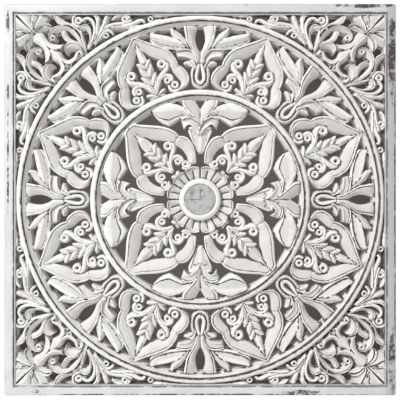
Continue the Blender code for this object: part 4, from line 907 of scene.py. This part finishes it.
def marks(name, kind, rows, columns):
    """How dark a patch's lines are painted, partly as old grime and partly as painted shade, and where
    its lips with their painted highlight run, both 0 to 1.
    """
    ink = np.zeros((rows, columns))
    lip = np.zeros((rows, columns))
    if name.endswith("ring"):
        for j, dark in RING_INK.items():
            ink[:, j] = dark
        lip[:, RING_LIPS] = 1
    elif name == "boss":
        for j, dark in BOSS_INK.items():
            ink[:, j] = dark
        lip[:, BOSS_LIPS] = 1
    elif name == "rosette":
        for i in range(rows):
            place = PETAL_PROFILE[i % (len(PETAL_PROFILE) - 1)][0]
            dark = PETAL_INK.get(place, 0)
            dark_rows = PETAL_WEDGE_ROWS if abs(place) < PETAL_VALLEY else columns
            ink[i, :dark_rows] = dark
            ink[i, PETAL_RIM_ROW] = max(ink[i, PETAL_RIM_ROW], PETAL_RIM_INK)
            if dark == 0:
                lip[i, PETAL_LIP_ROWS] = 1
    elif kind == "eye":
        for j, (place, _) in enumerate(EYE_PROFILE):
            ink[:, j] = EYE_INK.get(place, 0)
            lip[:, j] = place in EYE_LIPS
    elif kind in PROFILES:
        for j, (place, _) in enumerate(PROFILES[kind]):
            ink[:, j] = STRAND_INK.get(kind, {}).get(place, 0)
            lip[:, j] = place in STRAND_LIPS.get(kind, ())
    return ink, lip


def valley_point(relief, shown, hidden):
    """The place between two points of one strand where another strand covers it."""
    a = shown
    b = hidden
    for _ in range(VALLEY_STEPS):
        middle = (a + b) / 2
        top = relief.height(middle[0], middle[1])
        if top is None or top - middle[2] < COVERED:
            a = middle
        else:
            b = middle
    return a


class FrontPlan:
    """Plan points of the carved front with the dark of the cuts, partly grime and partly painted shade,
    and the lip at each, and edges between them.
    """

    def __init__(self, loops):
        self.cells = {}
        self.points = []
        self.ink = []
        self.lip = []
        self.edges = []
        self.holes = []
        half = board_half()
        corners = np.array([(-half, -half), (half, -half), (half, half), (-half, half)])
        border = []
        for k in range(4):
            border.append(self.add(*corners[k]))
            places = sampled(corners[k], corners[(k + 1) % 4], int(2 * half / EDGE_SPACING))
            border += [self.add(*place) for place in places]
        self.close(border)
        for loop in loops:
            ring = [self.add(x, y) for x, y in loop.tolist()]
            self.close(ring)
            self.holes.append(ring[::-1])
        self.rim_count = len(self.points)
        self.rim = self.rim_tree()

    def rim_tree(self):
        """Places close together along the edges, to tell how near a point lies to them."""
        places = []
        for a, b in self.edges:
            start = np.array(self.points[a])
            end = np.array(self.points[b])
            count = int(np.linalg.norm(end - start) / RIM_SAMPLE)
            places += [start, *sampled(start, end, count)]
        tree = KDTree(len(places))
        for number, (x, y) in enumerate(places):
            tree.insert((x, y, 0), number)
        tree.balance()
        return tree

    def near(self, x, y):
        """The nearest point within the merging distance, or None."""
        i = math.floor(x / CELL)
        j = math.floor(y / CELL)
        best = None
        gap = MERGE * MERGE
        for a in (i - 1, i, i + 1):
            for b in (j - 1, j, j + 1):
                for k in self.cells.get((a, b), ()):
                    px, py = self.points[k]
                    d = (px - x) ** 2 + (py - y) ** 2
                    if d < gap:
                        gap = d
                        best = k
        return best

    def add(self, x, y, ink=0.0, lip=0.0):
        number = len(self.points)
        self.points.append((x, y))
        self.ink.append(ink)
        self.lip.append(lip)
        self.cells.setdefault((math.floor(x / CELL), math.floor(y / CELL)), []).append(number)
        return number

    def close(self, ring):
        """Edges all round a closed row of points."""
        self.edges += zip(ring, ring[1:] + ring[:1])

    def take(self, place, ink, lip=0.0):
        """The point for a place, new or merged, or -1 where an outline is too near."""
        x = float(place[0])
        y = float(place[1])
        found = self.near(x, y)
        if found is not None:
            return found if found >= self.rim_count else -1
        if self.rim.find((x, y, 0))[2] < RIM_CLEAR:
            return -1
        return self.add(x, y, ink, lip)

    def join(self, a, b):
        """An edge between two points where both are there."""
        if a >= 0 and b >= 0 and a != b:
            self.edges.append((int(a), int(b)))

    def carve(self, name, kind, patch, relief):
        """Takes the points of a patch that show, and the places where it goes under another."""
        rows, columns = patch.shape[:2]
        ink, lip = marks(name, kind, rows, columns)
        state = np.full((rows, columns), OUTSIDE)
        limit = board_half() - EDGE_CLEAR
        for i in range(rows):
            for j in range(columns):
                x, y, z = patch[i, j]
                if abs(x) < limit and abs(y) < limit:
                    top = relief.height(x, y)
                    state[i, j] = SHOWN if top is None or top - z < COVERED else HIDDEN
        index = np.full((rows, columns), -1)
        for j in sorted(range(columns), key=lambda j: abs(j - columns // 2)):
            for i in range(rows):
                if state[i, j] == SHOWN:
                    index[i, j] = self.take(patch[i, j], float(ink[i, j]), float(lip[i, j]))
        for i in range(rows):
            for j in range(columns):
                for step in ((1, 0), (0, 1)):
                    here = (i, j)
                    there = (i + step[0], j + step[1])
                    if there[0] >= rows or there[1] >= columns:
                        continue
                    if state[here] == state[there] == SHOWN and step[0]:
                        self.join(index[here], index[there])
                    elif {state[here], state[there]} == {SHOWN, HIDDEN}:
                        shown, hidden = (here, there) if state[here] == SHOWN else (there, here)
                        valley = valley_point(relief, patch[shown], patch[hidden])
                        # The crease where this strand goes under another gets a dark mark, partly grime
                        # and partly painted shade
                        spot = self.take(valley, CREVICE_INK)
                        if step[0]:
                            self.join(index[shown], spot)


def board_shell(plan, front, relief):
    """Vertices and faces of the board: the carved front, the flat back and the walls between."""
    rims = boundary_loops(front)
    on_rim = sorted({i for rim in rims for i in rim})
    place = {i: k for k, i in enumerate(on_rim)}
    edges = []
    holes = []
    for rim in rims:
        ring = [place[i] for i in rim]
        edges += zip(ring, ring[1:] + ring[:1])
        if loop_area(plan[rim]) < 0:
            holes.append(ring[::-1])
    _, back = triangulated(plan[on_rim], edges, holes)
    verts = np.zeros((len(plan) + len(on_rim), 3))
    for i, (x, y) in enumerate(plan.tolist()):
        height = relief.nearest_height(x, y)
        if i not in place:
            height += CARVE_WAVER * noise.noise((x / WAVER_SIZE, y / WAVER_SIZE, 0))
        verts[i] = (x, -height, y)
    base = len(plan)
    verts[base:, 0] = plan[on_rim, 0]
    verts[base:, 2] = plan[on_rim, 1]
    faces = front + [tuple(base + i for i in reversed(tri)) for tri in back]
    for rim in rims:
        for a, b in zip(rim, rim[1:] + rim[:1]):
            low_a = base + place[a]
            low_b = base + place[b]
            faces += [(b, a, low_a), (b, low_a, low_b)]
    return verts, faces


def spread(field, reach, pick):
    """Highest or lowest value of a height map within a square round each cell."""
    for axis in (0, 1):
        found = field.copy()
        for k in range(1, reach + 1):
            for step in (k, -k):
                found = pick(found, np.roll(field, step, axis))
        field = found
    return field


def blurred(field, reach):
    """Mean value of a height map within a square round each cell."""
    for axis in (0, 1):
        total = field.copy()
        for k in range(1, reach + 1):
            total = total + np.roll(field, k, axis) + np.roll(field, -k, axis)
        field = total / (2 * reach + 1)
    return field


def height_map(relief):
    """Heights over a square grid of plan places, 0 over an opening."""
    half = board_half()
    count = int(2 * half / MAP_STEP)
    axis = (np.arange(count) + 0.5) / count * 2 * half - half
    rows = np.zeros((count, count))
    down = Vector((0, 0, -1))
    cast = relief.tree.ray_cast
    for i, y in enumerate(axis.tolist()):
        row = rows[i]
        for j, x in enumerate(axis.tolist()):
            hit = cast((x, y, 1), down)[0]
            if hit is not None:
                row[j] = hit.z
            elif math.hypot(x, y) < BOSS_FACE_RADIUS:
                row[j] = real_height(BOSS_TOP)
    return rows


def looked_up(field, plan):
    """Values of a height map at plan points, between its cells as well."""
    half = board_half()
    place = (plan + half) / (2 * half) * len(field) - 0.5
    place = np.clip(place, 0, len(field) - 1.001)
    low = place.astype(int)
    x, y = low.T
    u, v = (place - low).T
    return (field[y, x] * (1 - u) * (1 - v) + field[y, x + 1] * u * (1 - v)
            + field[y + 1, x] * (1 - u) * v + field[y + 1, x + 1] * u * v)


def carve_colours(plan, relief, ink, lip, count):
    """Dark of the cuts (partly grime, partly painted shade of the creases), lip, and sunk depth that
    sets the painted shade, of all vertices as colours. The back and the walls count as fully sunk, so
    they get the full painted shade.
    """
    rows = height_map(relief)
    closed = spread(spread(rows, GROOVE_REACH, np.maximum), GROOVE_REACH, np.minimum)
    around = blurred(spread(rows, SUNK_REACH, np.maximum), SUNK_BLUR)
    groove = looked_up(closed - rows, plan)
    sunk = looked_up(around - rows, plan)
    front = len(plan)
    found = np.zeros((count, 4))
    found[: len(ink), 0] = ink
    found[: len(lip), 1] = lip
    found[:front, 0] = np.maximum(found[:front, 0], GROOVE_INK * groove / GROOVE_FULL)
    found[:front, 2] = sunk / SUNK_FULL
    found[front:, 2] = 1
    found[:, 3] = 1
    return np.clip(found, 0, 1)


def new_piece(name, verts, faces, crease):
    """A linked object, smooth apart from edges that turn by more than the crease angle."""
    mesh = bpy.data.meshes.new(name)
    mesh.from_pydata(verts, [], faces)
    mesh.update()
    mesh.shade_smooth()
    mesh.set_sharp_from_angle(angle=math.radians(crease))
    piece = bpy.data.objects.new(name, mesh)
    bpy.context.scene.collection.objects.link(piece)
    return piece


def board_piece():
    """The carved board, with the dark of its cuts (partly grime, partly painted shade), its lips and
    its sunk places for painted shade in a colour attribute.
    """
    patches = carved_patches()
    relief = Relief(patches)
    drawing = FrontPlan(openings(patches, relief))
    for name, kind, patch in patches:
        drawing.carve(name, kind, patch, relief)
    plan, front = triangulated(drawing.points, drawing.edges, drawing.holes)
    verts, faces = board_shell(plan, front, relief)
    piece = new_piece("board", verts.tolist(), faces, BOARD_CREASE)
    layer = piece.data.color_attributes.new("carve", "FLOAT_COLOR", "POINT")
    colours = carve_colours(plan, relief, drawing.ink, drawing.lip, len(verts))
    layer.data.foreach_set("color", colours.ravel())
    return piece


def frame_loop(half, radius, depth):
    """Square outline at one depth, with rounded corners where a radius is given."""
    steps = CORNER_STEPS if radius else 0
    found = []
    for quarter, (sx, sy) in enumerate(((1, -1), (1, 1), (-1, 1), (-1, -1))):
        for k in range(steps + 1):
            angle = math.pi / 2 * (quarter - 1 + (k / steps if steps else 0.5))
            x = sx * (half - radius) + radius * math.cos(angle)
            y = sy * (half - radius) + radius * math.sin(angle)
            found.append((x, -depth, y))
    return found


def stitched(first, second, offset_first, offset_second):
    """Triangles between two loops of four corners each, either of them rounded."""
    n = len(first)
    m = len(second)
    faces = []
    for corner in range(4):
        a = [corner * n // 4 + i for i in range(n // 4)]
        b = [corner * m // 4 + i for i in range(m // 4)]
        for i in range(max(len(a), len(b)) - 1):
            here = a[min(i, len(a) - 1)]
            there = b[min(i, len(b) - 1)]
            if i + 1 < len(a):
                faces.append((offset_first + here, offset_first + a[i + 1], offset_second + there))
                here = a[i + 1]
            if i + 1 < len(b):
                faces.append((offset_first + here, offset_second + b[i + 1], offset_second + there))
        end_a = offset_first + a[-1]
        end_b = offset_second + b[-1]
        next_a = offset_first + (corner + 1) * n // 4 % n
        next_b = offset_second + (corner + 1) * m // 4 % m
        faces.append((end_a, next_a, next_b))
        faces.append((end_a, next_b, end_b))
    return faces


def arris(size):
    """Insets and depths at steps round an arris of the bar, from its side to its front."""
    angles = [math.pi / 2 * k / ARRIS_STEPS for k in range(ARRIS_STEPS + 1)]
    return [(size * (1 - math.cos(a)), FRAME_DEPTH - size * (1 - math.sin(a))) for a in angles]


def frame_piece():
    """The frame's bar with fine rounded arrises."""
    outer = PANEL_SIDE / 2
    inner = outer - FRAME_WIDTH
    radius = FRAME_CORNER_RADIUS
    loops = [frame_loop(outer, radius, 0)]
    loops += [frame_loop(outer - inset, radius - inset, depth) for inset, depth in arris(OUTER_ARRIS)]
    loops += [frame_loop(inner + inset, 0, depth) for inset, depth in reversed(arris(INNER_ARRIS))]
    loops.append(frame_loop(inner, 0, 0))
    verts = []
    starts = []
    for loop in loops:
        starts.append(len(verts))
        verts += loop
    faces = []
    for k in range(len(loops)):
        after = (k + 1) % len(loops)
        faces += stitched(loops[k], loops[after], starts[k], starts[after])
    return new_piece("frame_bar", verts, faces, BAR_CREASE)


class Tree:
    """A short way to write shader nodes."""

    def __init__(self, node_tree):
        self.nodes = node_tree.nodes
        self.links = node_tree.links

    def put(self, socket, value):
        if isinstance(value, bpy.types.NodeSocket):
            self.links.new(value, socket)
        else:
            socket.default_value = value

    def maths(self, operation, a, b=0.0):
        node = self.nodes.new("ShaderNodeMath")
        node.operation = operation
        self.put(node.inputs[0], a)
        self.put(node.inputs[1], b)
        return node.outputs[0]

    def plus(self, a, b):
        return self.maths("ADD", a, b)

    def minus(self, a, b):
        return self.maths("SUBTRACT", a, b)

    def times(self, a, b):
        return self.maths("MULTIPLY", a, b)

    def most(self, a, b):
        return self.maths("MAXIMUM", a, b)

    def mix(self, share, a, b):
        node = self.nodes.new("ShaderNodeMix")
        node.data_type = "RGBA"
        self.put(node.inputs["Factor"], share)
        self.put(node.inputs["A"], a)
        self.put(node.inputs["B"], b)
        return node.outputs["Result"]


class Paint(Tree):
    """The nodes of a new material, placed by the object's own coordinates."""

    def __init__(self, name):
        self.material = bpy.data.materials.new(name)
        self.material.use_nodes = True
        super().__init__(self.material.node_tree)
        self.shader = self.nodes["Principled BSDF"]
        self.place = self.nodes.new("ShaderNodeTexCoord").outputs["Object"]

    def stretch(self, size):
        node = self.nodes.new("ShaderNodeMapping")
        self.links.new(self.place, node.inputs["Vector"])
        node.inputs["Scale"].default_value = size
        return node.outputs["Vector"]

    def grain(self, size, detail, rough=0.6):
        """Noise with its repeats a metre, as one number or as one for each axis."""
        node = self.nodes.new("ShaderNodeTexNoise")
        scale = size if isinstance(size, tuple) else (size, size, size)
        self.links.new(self.stretch(scale), node.inputs["Vector"])
        node.inputs["Scale"].default_value = 1.0
        node.inputs["Detail"].default_value = detail
        node.inputs["Roughness"].default_value = rough
        return node.outputs["Fac"]

    def step(self, value, low, high):
        """0 up to the low value, 1 from the high value, and smooth between them."""
        node = self.nodes.new("ShaderNodeMapRange")
        node.interpolation_type = "SMOOTHSTEP"
        self.put(node.inputs["Value"], value)
        self.put(node.inputs["From Min"], low)
        self.put(node.inputs["From Max"], high)
        return node.outputs["Result"]

    def within(self, middle, radius, soft):
        """1 within a radius of a place on the front, 0 outside."""
        node = self.nodes.new("ShaderNodeVectorMath")
        node.operation = "DISTANCE"
        self.links.new(self.stretch((1, 0, 1)), node.inputs[0])
        node.inputs[1].default_value = middle
        return self.step(node.outputs["Value"], radius + soft, radius - soft)

    def axis(self, name):
        node = self.nodes.new("ShaderNodeSeparateXYZ")
        self.links.new(self.place, node.inputs[0])
        return node.outputs[name]

    def ahead(self):
        """1 on the front half of the depth and 0 at the back."""
        near, far = WEAR_DEPTH
        return self.step(self.axis("Y"), -near, -far)

    def patch(self, middle, half):
        """A soft oval on the front, 1 in its middle and 0 outside."""
        fall = 0.0
        for name, centre, reach in zip("XZ", middle, half):
            off = self.maths("DIVIDE", self.minus(self.axis(name), centre), reach)
            fall = self.plus(fall, self.times(off, off))
        return self.step(fall, 1.7, 0.3)

    def square(self):
        """Distance from the middle of the front, measured to the nearest side of a square."""
        return self.most(*(self.maths("ABSOLUTE", self.axis(name)) for name in "XZ"))

    def finish(self, colour, height, distance, strength):
        """Puts the colour and the fine relief on the surface."""
        self.links.new(colour, self.shader.inputs["Base Color"])
        node = self.nodes.new("ShaderNodeBump")
        node.inputs["Distance"].default_value = distance
        node.inputs["Strength"].default_value = strength
        self.links.new(height, node.inputs["Height"])
        self.links.new(node.outputs["Normal"], self.shader.inputs["Normal"])
        return self.material


def boss_face(t, tone, fine):
    """The mottled grey face of the boss, with its scribed lines."""
    inside = t.within((0, 0, 0), BOSS_FACE_RADIUS - MM, 0.5 * MM)
    mottle = t.mix(t.step(t.grain(MOTTLE_NOISE, 6, 0.8), 0.46, 0.70), BOSS_GREY, BOSS_DARK)
    scribed = t.most(*(t.patch(middle, half) for middle, half in BOSS_LINES))
    mottle = t.mix(t.times(scribed, t.step(fine, 0.35, 0.6)), mottle, GRIME_AND_SHADE)
    return t.mix(t.times(inside, t.ahead()), tone, mottle)


def grime_and_crease_shade(t, tone, groove, fine):
    """Dark in the cuts, partly old grime and partly painted shade of the creases, broken in places,
    partly red and heavier at the lower right.
    """
    red = t.plus(t.grain(RED_NOISE, 3), t.times(t.axis("X"), 0.3))
    old = t.mix(t.step(red, 0.45, 0.6), GRIME_AND_SHADE, MAROON)
    broken = t.times(t.minus(t.grain(BREAK_NOISE, 3, 0.7), 0.5), 1.4)
    lower = t.times(t.step(t.minus(t.axis("X"), t.axis("Z")), 0.0, 0.45), 0.28)
    uneven = t.times(t.plus(broken, lower), t.step(groove, 0.05, 0.4))
    stain_and_shade = t.times(t.step(t.plus(groove, uneven), 0.25, 0.75), t.step(fine, 0.12, 0.5))
    return t.mix(t.times(stain_and_shade, 0.92), tone, old)


def board_paint():
    """White paint with a painted highlight on the lips and painted shade in sunk places, dark in the
    cuts that is partly old grime and partly painted shade, and dark wood worn bare.
    """
    t = Paint("board_paint")
    carve = t.nodes.new("ShaderNodeAttribute")
    carve.attribute_name = "carve"
    parts = t.nodes.new("ShaderNodeSeparateColor")
    t.links.new(carve.outputs["Color"], parts.inputs["Color"])
    groove = parts.outputs["Red"]
    lip = parts.outputs["Green"]
    sunk = parts.outputs["Blue"]
    patchy = t.grain(PATCH_NOISE, 4, 0.65)
    fine = t.grain(FINE_NOISE, 3, 0.7)
    tone = t.mix(t.step(t.grain(BROAD_NOISE, 4), 0.35, 0.68), WHITE, WARM)
    tone = t.mix(t.times(t.step(patchy, 0.45, 0.75), 0.15), tone, SHADE)
    # Painted shade: sunk places, the back and the walls are darkened towards grey
    tone = t.mix(t.times(t.step(sunk, 0.25, 1.0), 0.45), tone, SHADE)
    tone = boss_face(t, tone, fine)
    # Painted highlight: the lips are lightened, broken by the patchy noise
    tone = t.mix(t.times(t.step(lip, 0.2, 0.8), t.step(patchy, 0.25, 0.5)), tone, LIP_HIGHLIGHT)
    # Dark in the cuts: partly old grime, partly painted shade of the creases
    tone = grime_and_crease_shade(t, tone, groove, fine)
    chips = t.times(t.step(patchy, 0.62, 0.70), t.step(fine, 0.42, 0.58))
    edge = t.plus(t.times(t.step(groove, 0.03, 0.3), 0.8), 0.06)
    tone = t.mix(t.times(chips, edge), tone, WOOD)
    rough = t.nodes.new("ShaderNodeMapRange")
    t.links.new(fine, rough.inputs["Value"])
    rough.inputs["To Min"].default_value = 0.62
    rough.inputs["To Max"].default_value = 0.82
    t.links.new(rough.outputs["Result"], t.shader.inputs["Roughness"])
    strokes = t.grain(STROKE_NOISE, 3)
    return t.finish(tone, t.plus(strokes, t.times(fine, 0.6)), 0.0006, 0.35)


def frame_paint():
    """White bar, worn to dark wood in places, with grime along the joint to the board."""
    t = Paint("frame_paint")
    streak = t.grain(BAR_STREAK_NOISE, 4, 0.7)
    smear = t.grain(BAR_SMEAR_NOISE, 5, 0.7)
    side = t.square()
    front = t.ahead()
    tone = t.mix(t.step(t.grain(BAR_BROAD_NOISE, 4), 0.35, 0.7), BAR_WHITE, BAR_GREY)
    tone = t.mix(t.step(t.axis("X"), *RIGHT_SHADE), tone, BAR_SHADE)
    worn = 0.0
    for x, z, wide, high in WORN:
        worn = t.most(worn, t.patch((x, z), (wide, high)))
    level = t.minus(0.72, t.times(worn, 0.30))
    spots = t.times(t.step(t.minus(smear, level), -0.07, 0.10), t.step(streak, 0.30, 0.50))
    rim = t.times(t.step(side, *OUTER_RIM), t.step(smear, 0.25, 0.55))
    tone = t.mix(t.times(rim, 0.7), tone, BAR_RIM)
    tone = t.mix(t.times(spots, t.times(front, 0.95)), tone, BAR_WOOD)
    smudge, line = (t.step(side, JOINT + far, JOINT + near) for far, near in (SMUDGE_REACH, LINE_REACH))
    smudge = t.times(smudge, t.step(smear, 0.42, 0.62))
    line = t.times(line, t.step(smear, 0.3, 0.5))
    tone = t.mix(t.times(t.times(t.most(smudge, line), front), 0.75), tone, BAR_WOOD)
    t.shader.inputs["Roughness"].default_value = 0.6
    return t.finish(tone, streak, 0.0005, 0.3)


def area_light(name, place, aim, size, watts, colour=(1, 1, 1)):
    data = bpy.data.lights.new(name, "AREA")
    data.size = size
    data.energy = watts
    data.color = colour
    light = bpy.data.objects.new(name, data)
    light.location = place
    light.rotation_euler = (Vector(aim) - Vector(place)).to_track_quat("-Z", "Y").to_euler()
    bpy.context.scene.collection.objects.link(light)


def studio():
    """Pale surroundings, with the shaded wall that the openings look on to straight behind."""
    world = bpy.data.worlds.new("studio")
    bpy.context.scene.world = world
    world.use_nodes = True
    t = Tree(world.node_tree)
    split = t.nodes.new("ShaderNodeSeparateXYZ")
    t.links.new(t.nodes.new("ShaderNodeTexCoord").outputs["Generated"], split.inputs[0])
    depth = split.outputs["Y"]
    safe = t.most(depth, 0.001)
    across, up = (t.maths("DIVIDE", split.outputs[name], safe) for name in "XZ")
    side = t.most(t.maths("ABSOLUTE", across), t.maths("ABSOLUTE", up))
    ahead = t.maths("GREATER_THAN", depth, 0.0)
    wall = t.times(t.maths("LESS_THAN", side, WALL_SPREAD), ahead)
    middle = t.maths("SQRT", t.plus(t.maths("POWER", across, 2.0), t.maths("POWER", up, 2.0)))
    ramp = t.nodes.new("ShaderNodeValToRGB")
    t.links.new(middle, ramp.inputs["Fac"])
    stops = ramp.color_ramp.elements
    while len(stops) < len(WALL_SHADES):
        stops.new(0.5)
    for stop, (place, shade) in zip(stops, WALL_SHADES):
        stop.position = place
        stop.color = shade
    seen = t.mix(wall, (1, 1, 1, 1), ramp.outputs["Color"])
    front = (FRONT_FILL, FRONT_FILL, FRONT_FILL, 1)
    behind = (BACK_FILL, BACK_FILL * 0.97, BACK_FILL * 0.93, 1)
    by_camera = t.nodes.new("ShaderNodeLightPath").outputs["Is Camera Ray"]
    shown = t.mix(by_camera, t.mix(ahead, front, behind), seen)
    t.links.new(shown, t.nodes["Background"].inputs["Color"])


def camera():
    data = bpy.data.cameras.new("camera")
    data.sensor_width = SENSOR_WIDTH
    data.lens = SENSOR_WIDTH / 2 / (VIEW_WIDTH / 2 / CAMERA_REACH)
    eye = bpy.data.objects.new("camera", data)
    eye.location = (VIEW_CENTRE[0], -(FRAME_DEPTH + CAMERA_REACH), VIEW_CENTRE[1])
    eye.rotation_euler = (math.pi / 2, 0, 0)
    bpy.context.scene.collection.objects.link(eye)
    bpy.context.scene.camera = eye


def floor_piece():
    mesh = bpy.data.meshes.new("floor")
    plan = ((-FLOOR_HALF, -FLOOR_HALF), (FLOOR_HALF, -FLOOR_HALF), (FLOOR_HALF, FLOOR_BACK),
            (-FLOOR_HALF, FLOOR_BACK))
    mesh.from_pydata([(x, y, FLOOR_LEVEL) for x, y in plan], [], [(0, 1, 2, 3)])
    material = bpy.data.materials.new("floor")
    material.use_nodes = True
    shader = material.node_tree.nodes["Principled BSDF"]
    shader.inputs["Base Color"].default_value = (*FLOOR_COLOUR, 1)
    shader.inputs["Roughness"].default_value = 0.9
    mesh.materials.append(material)
    piece = bpy.data.objects.new("floor", mesh)
    bpy.context.scene.collection.objects.link(piece)
    return piece


camera()
studio()
area_light("key", KEY_PLACE, (0, 0, 0), KEY_SIZE, KEY_WATTS, KEY_COLOUR)
area_light("lower", LOWER_PLACE, LOWER_AIM, LOWER_SIZE, LOWER_WATTS)
floor = floor_piece()
floor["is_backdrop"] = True

board = board_piece()
board.data.materials.append(board_paint())
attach(board, "root")
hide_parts("carved_panel")

bar = frame_piece()
bar.data.materials.append(frame_paint())
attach(bar, "root")
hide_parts("frame")

bpy.context.scene.view_settings.view_transform = "Standard"
scene_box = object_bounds()
{"cad": [list(c) for c in cad_box], "visual": [list(c) for c in scene_box]}
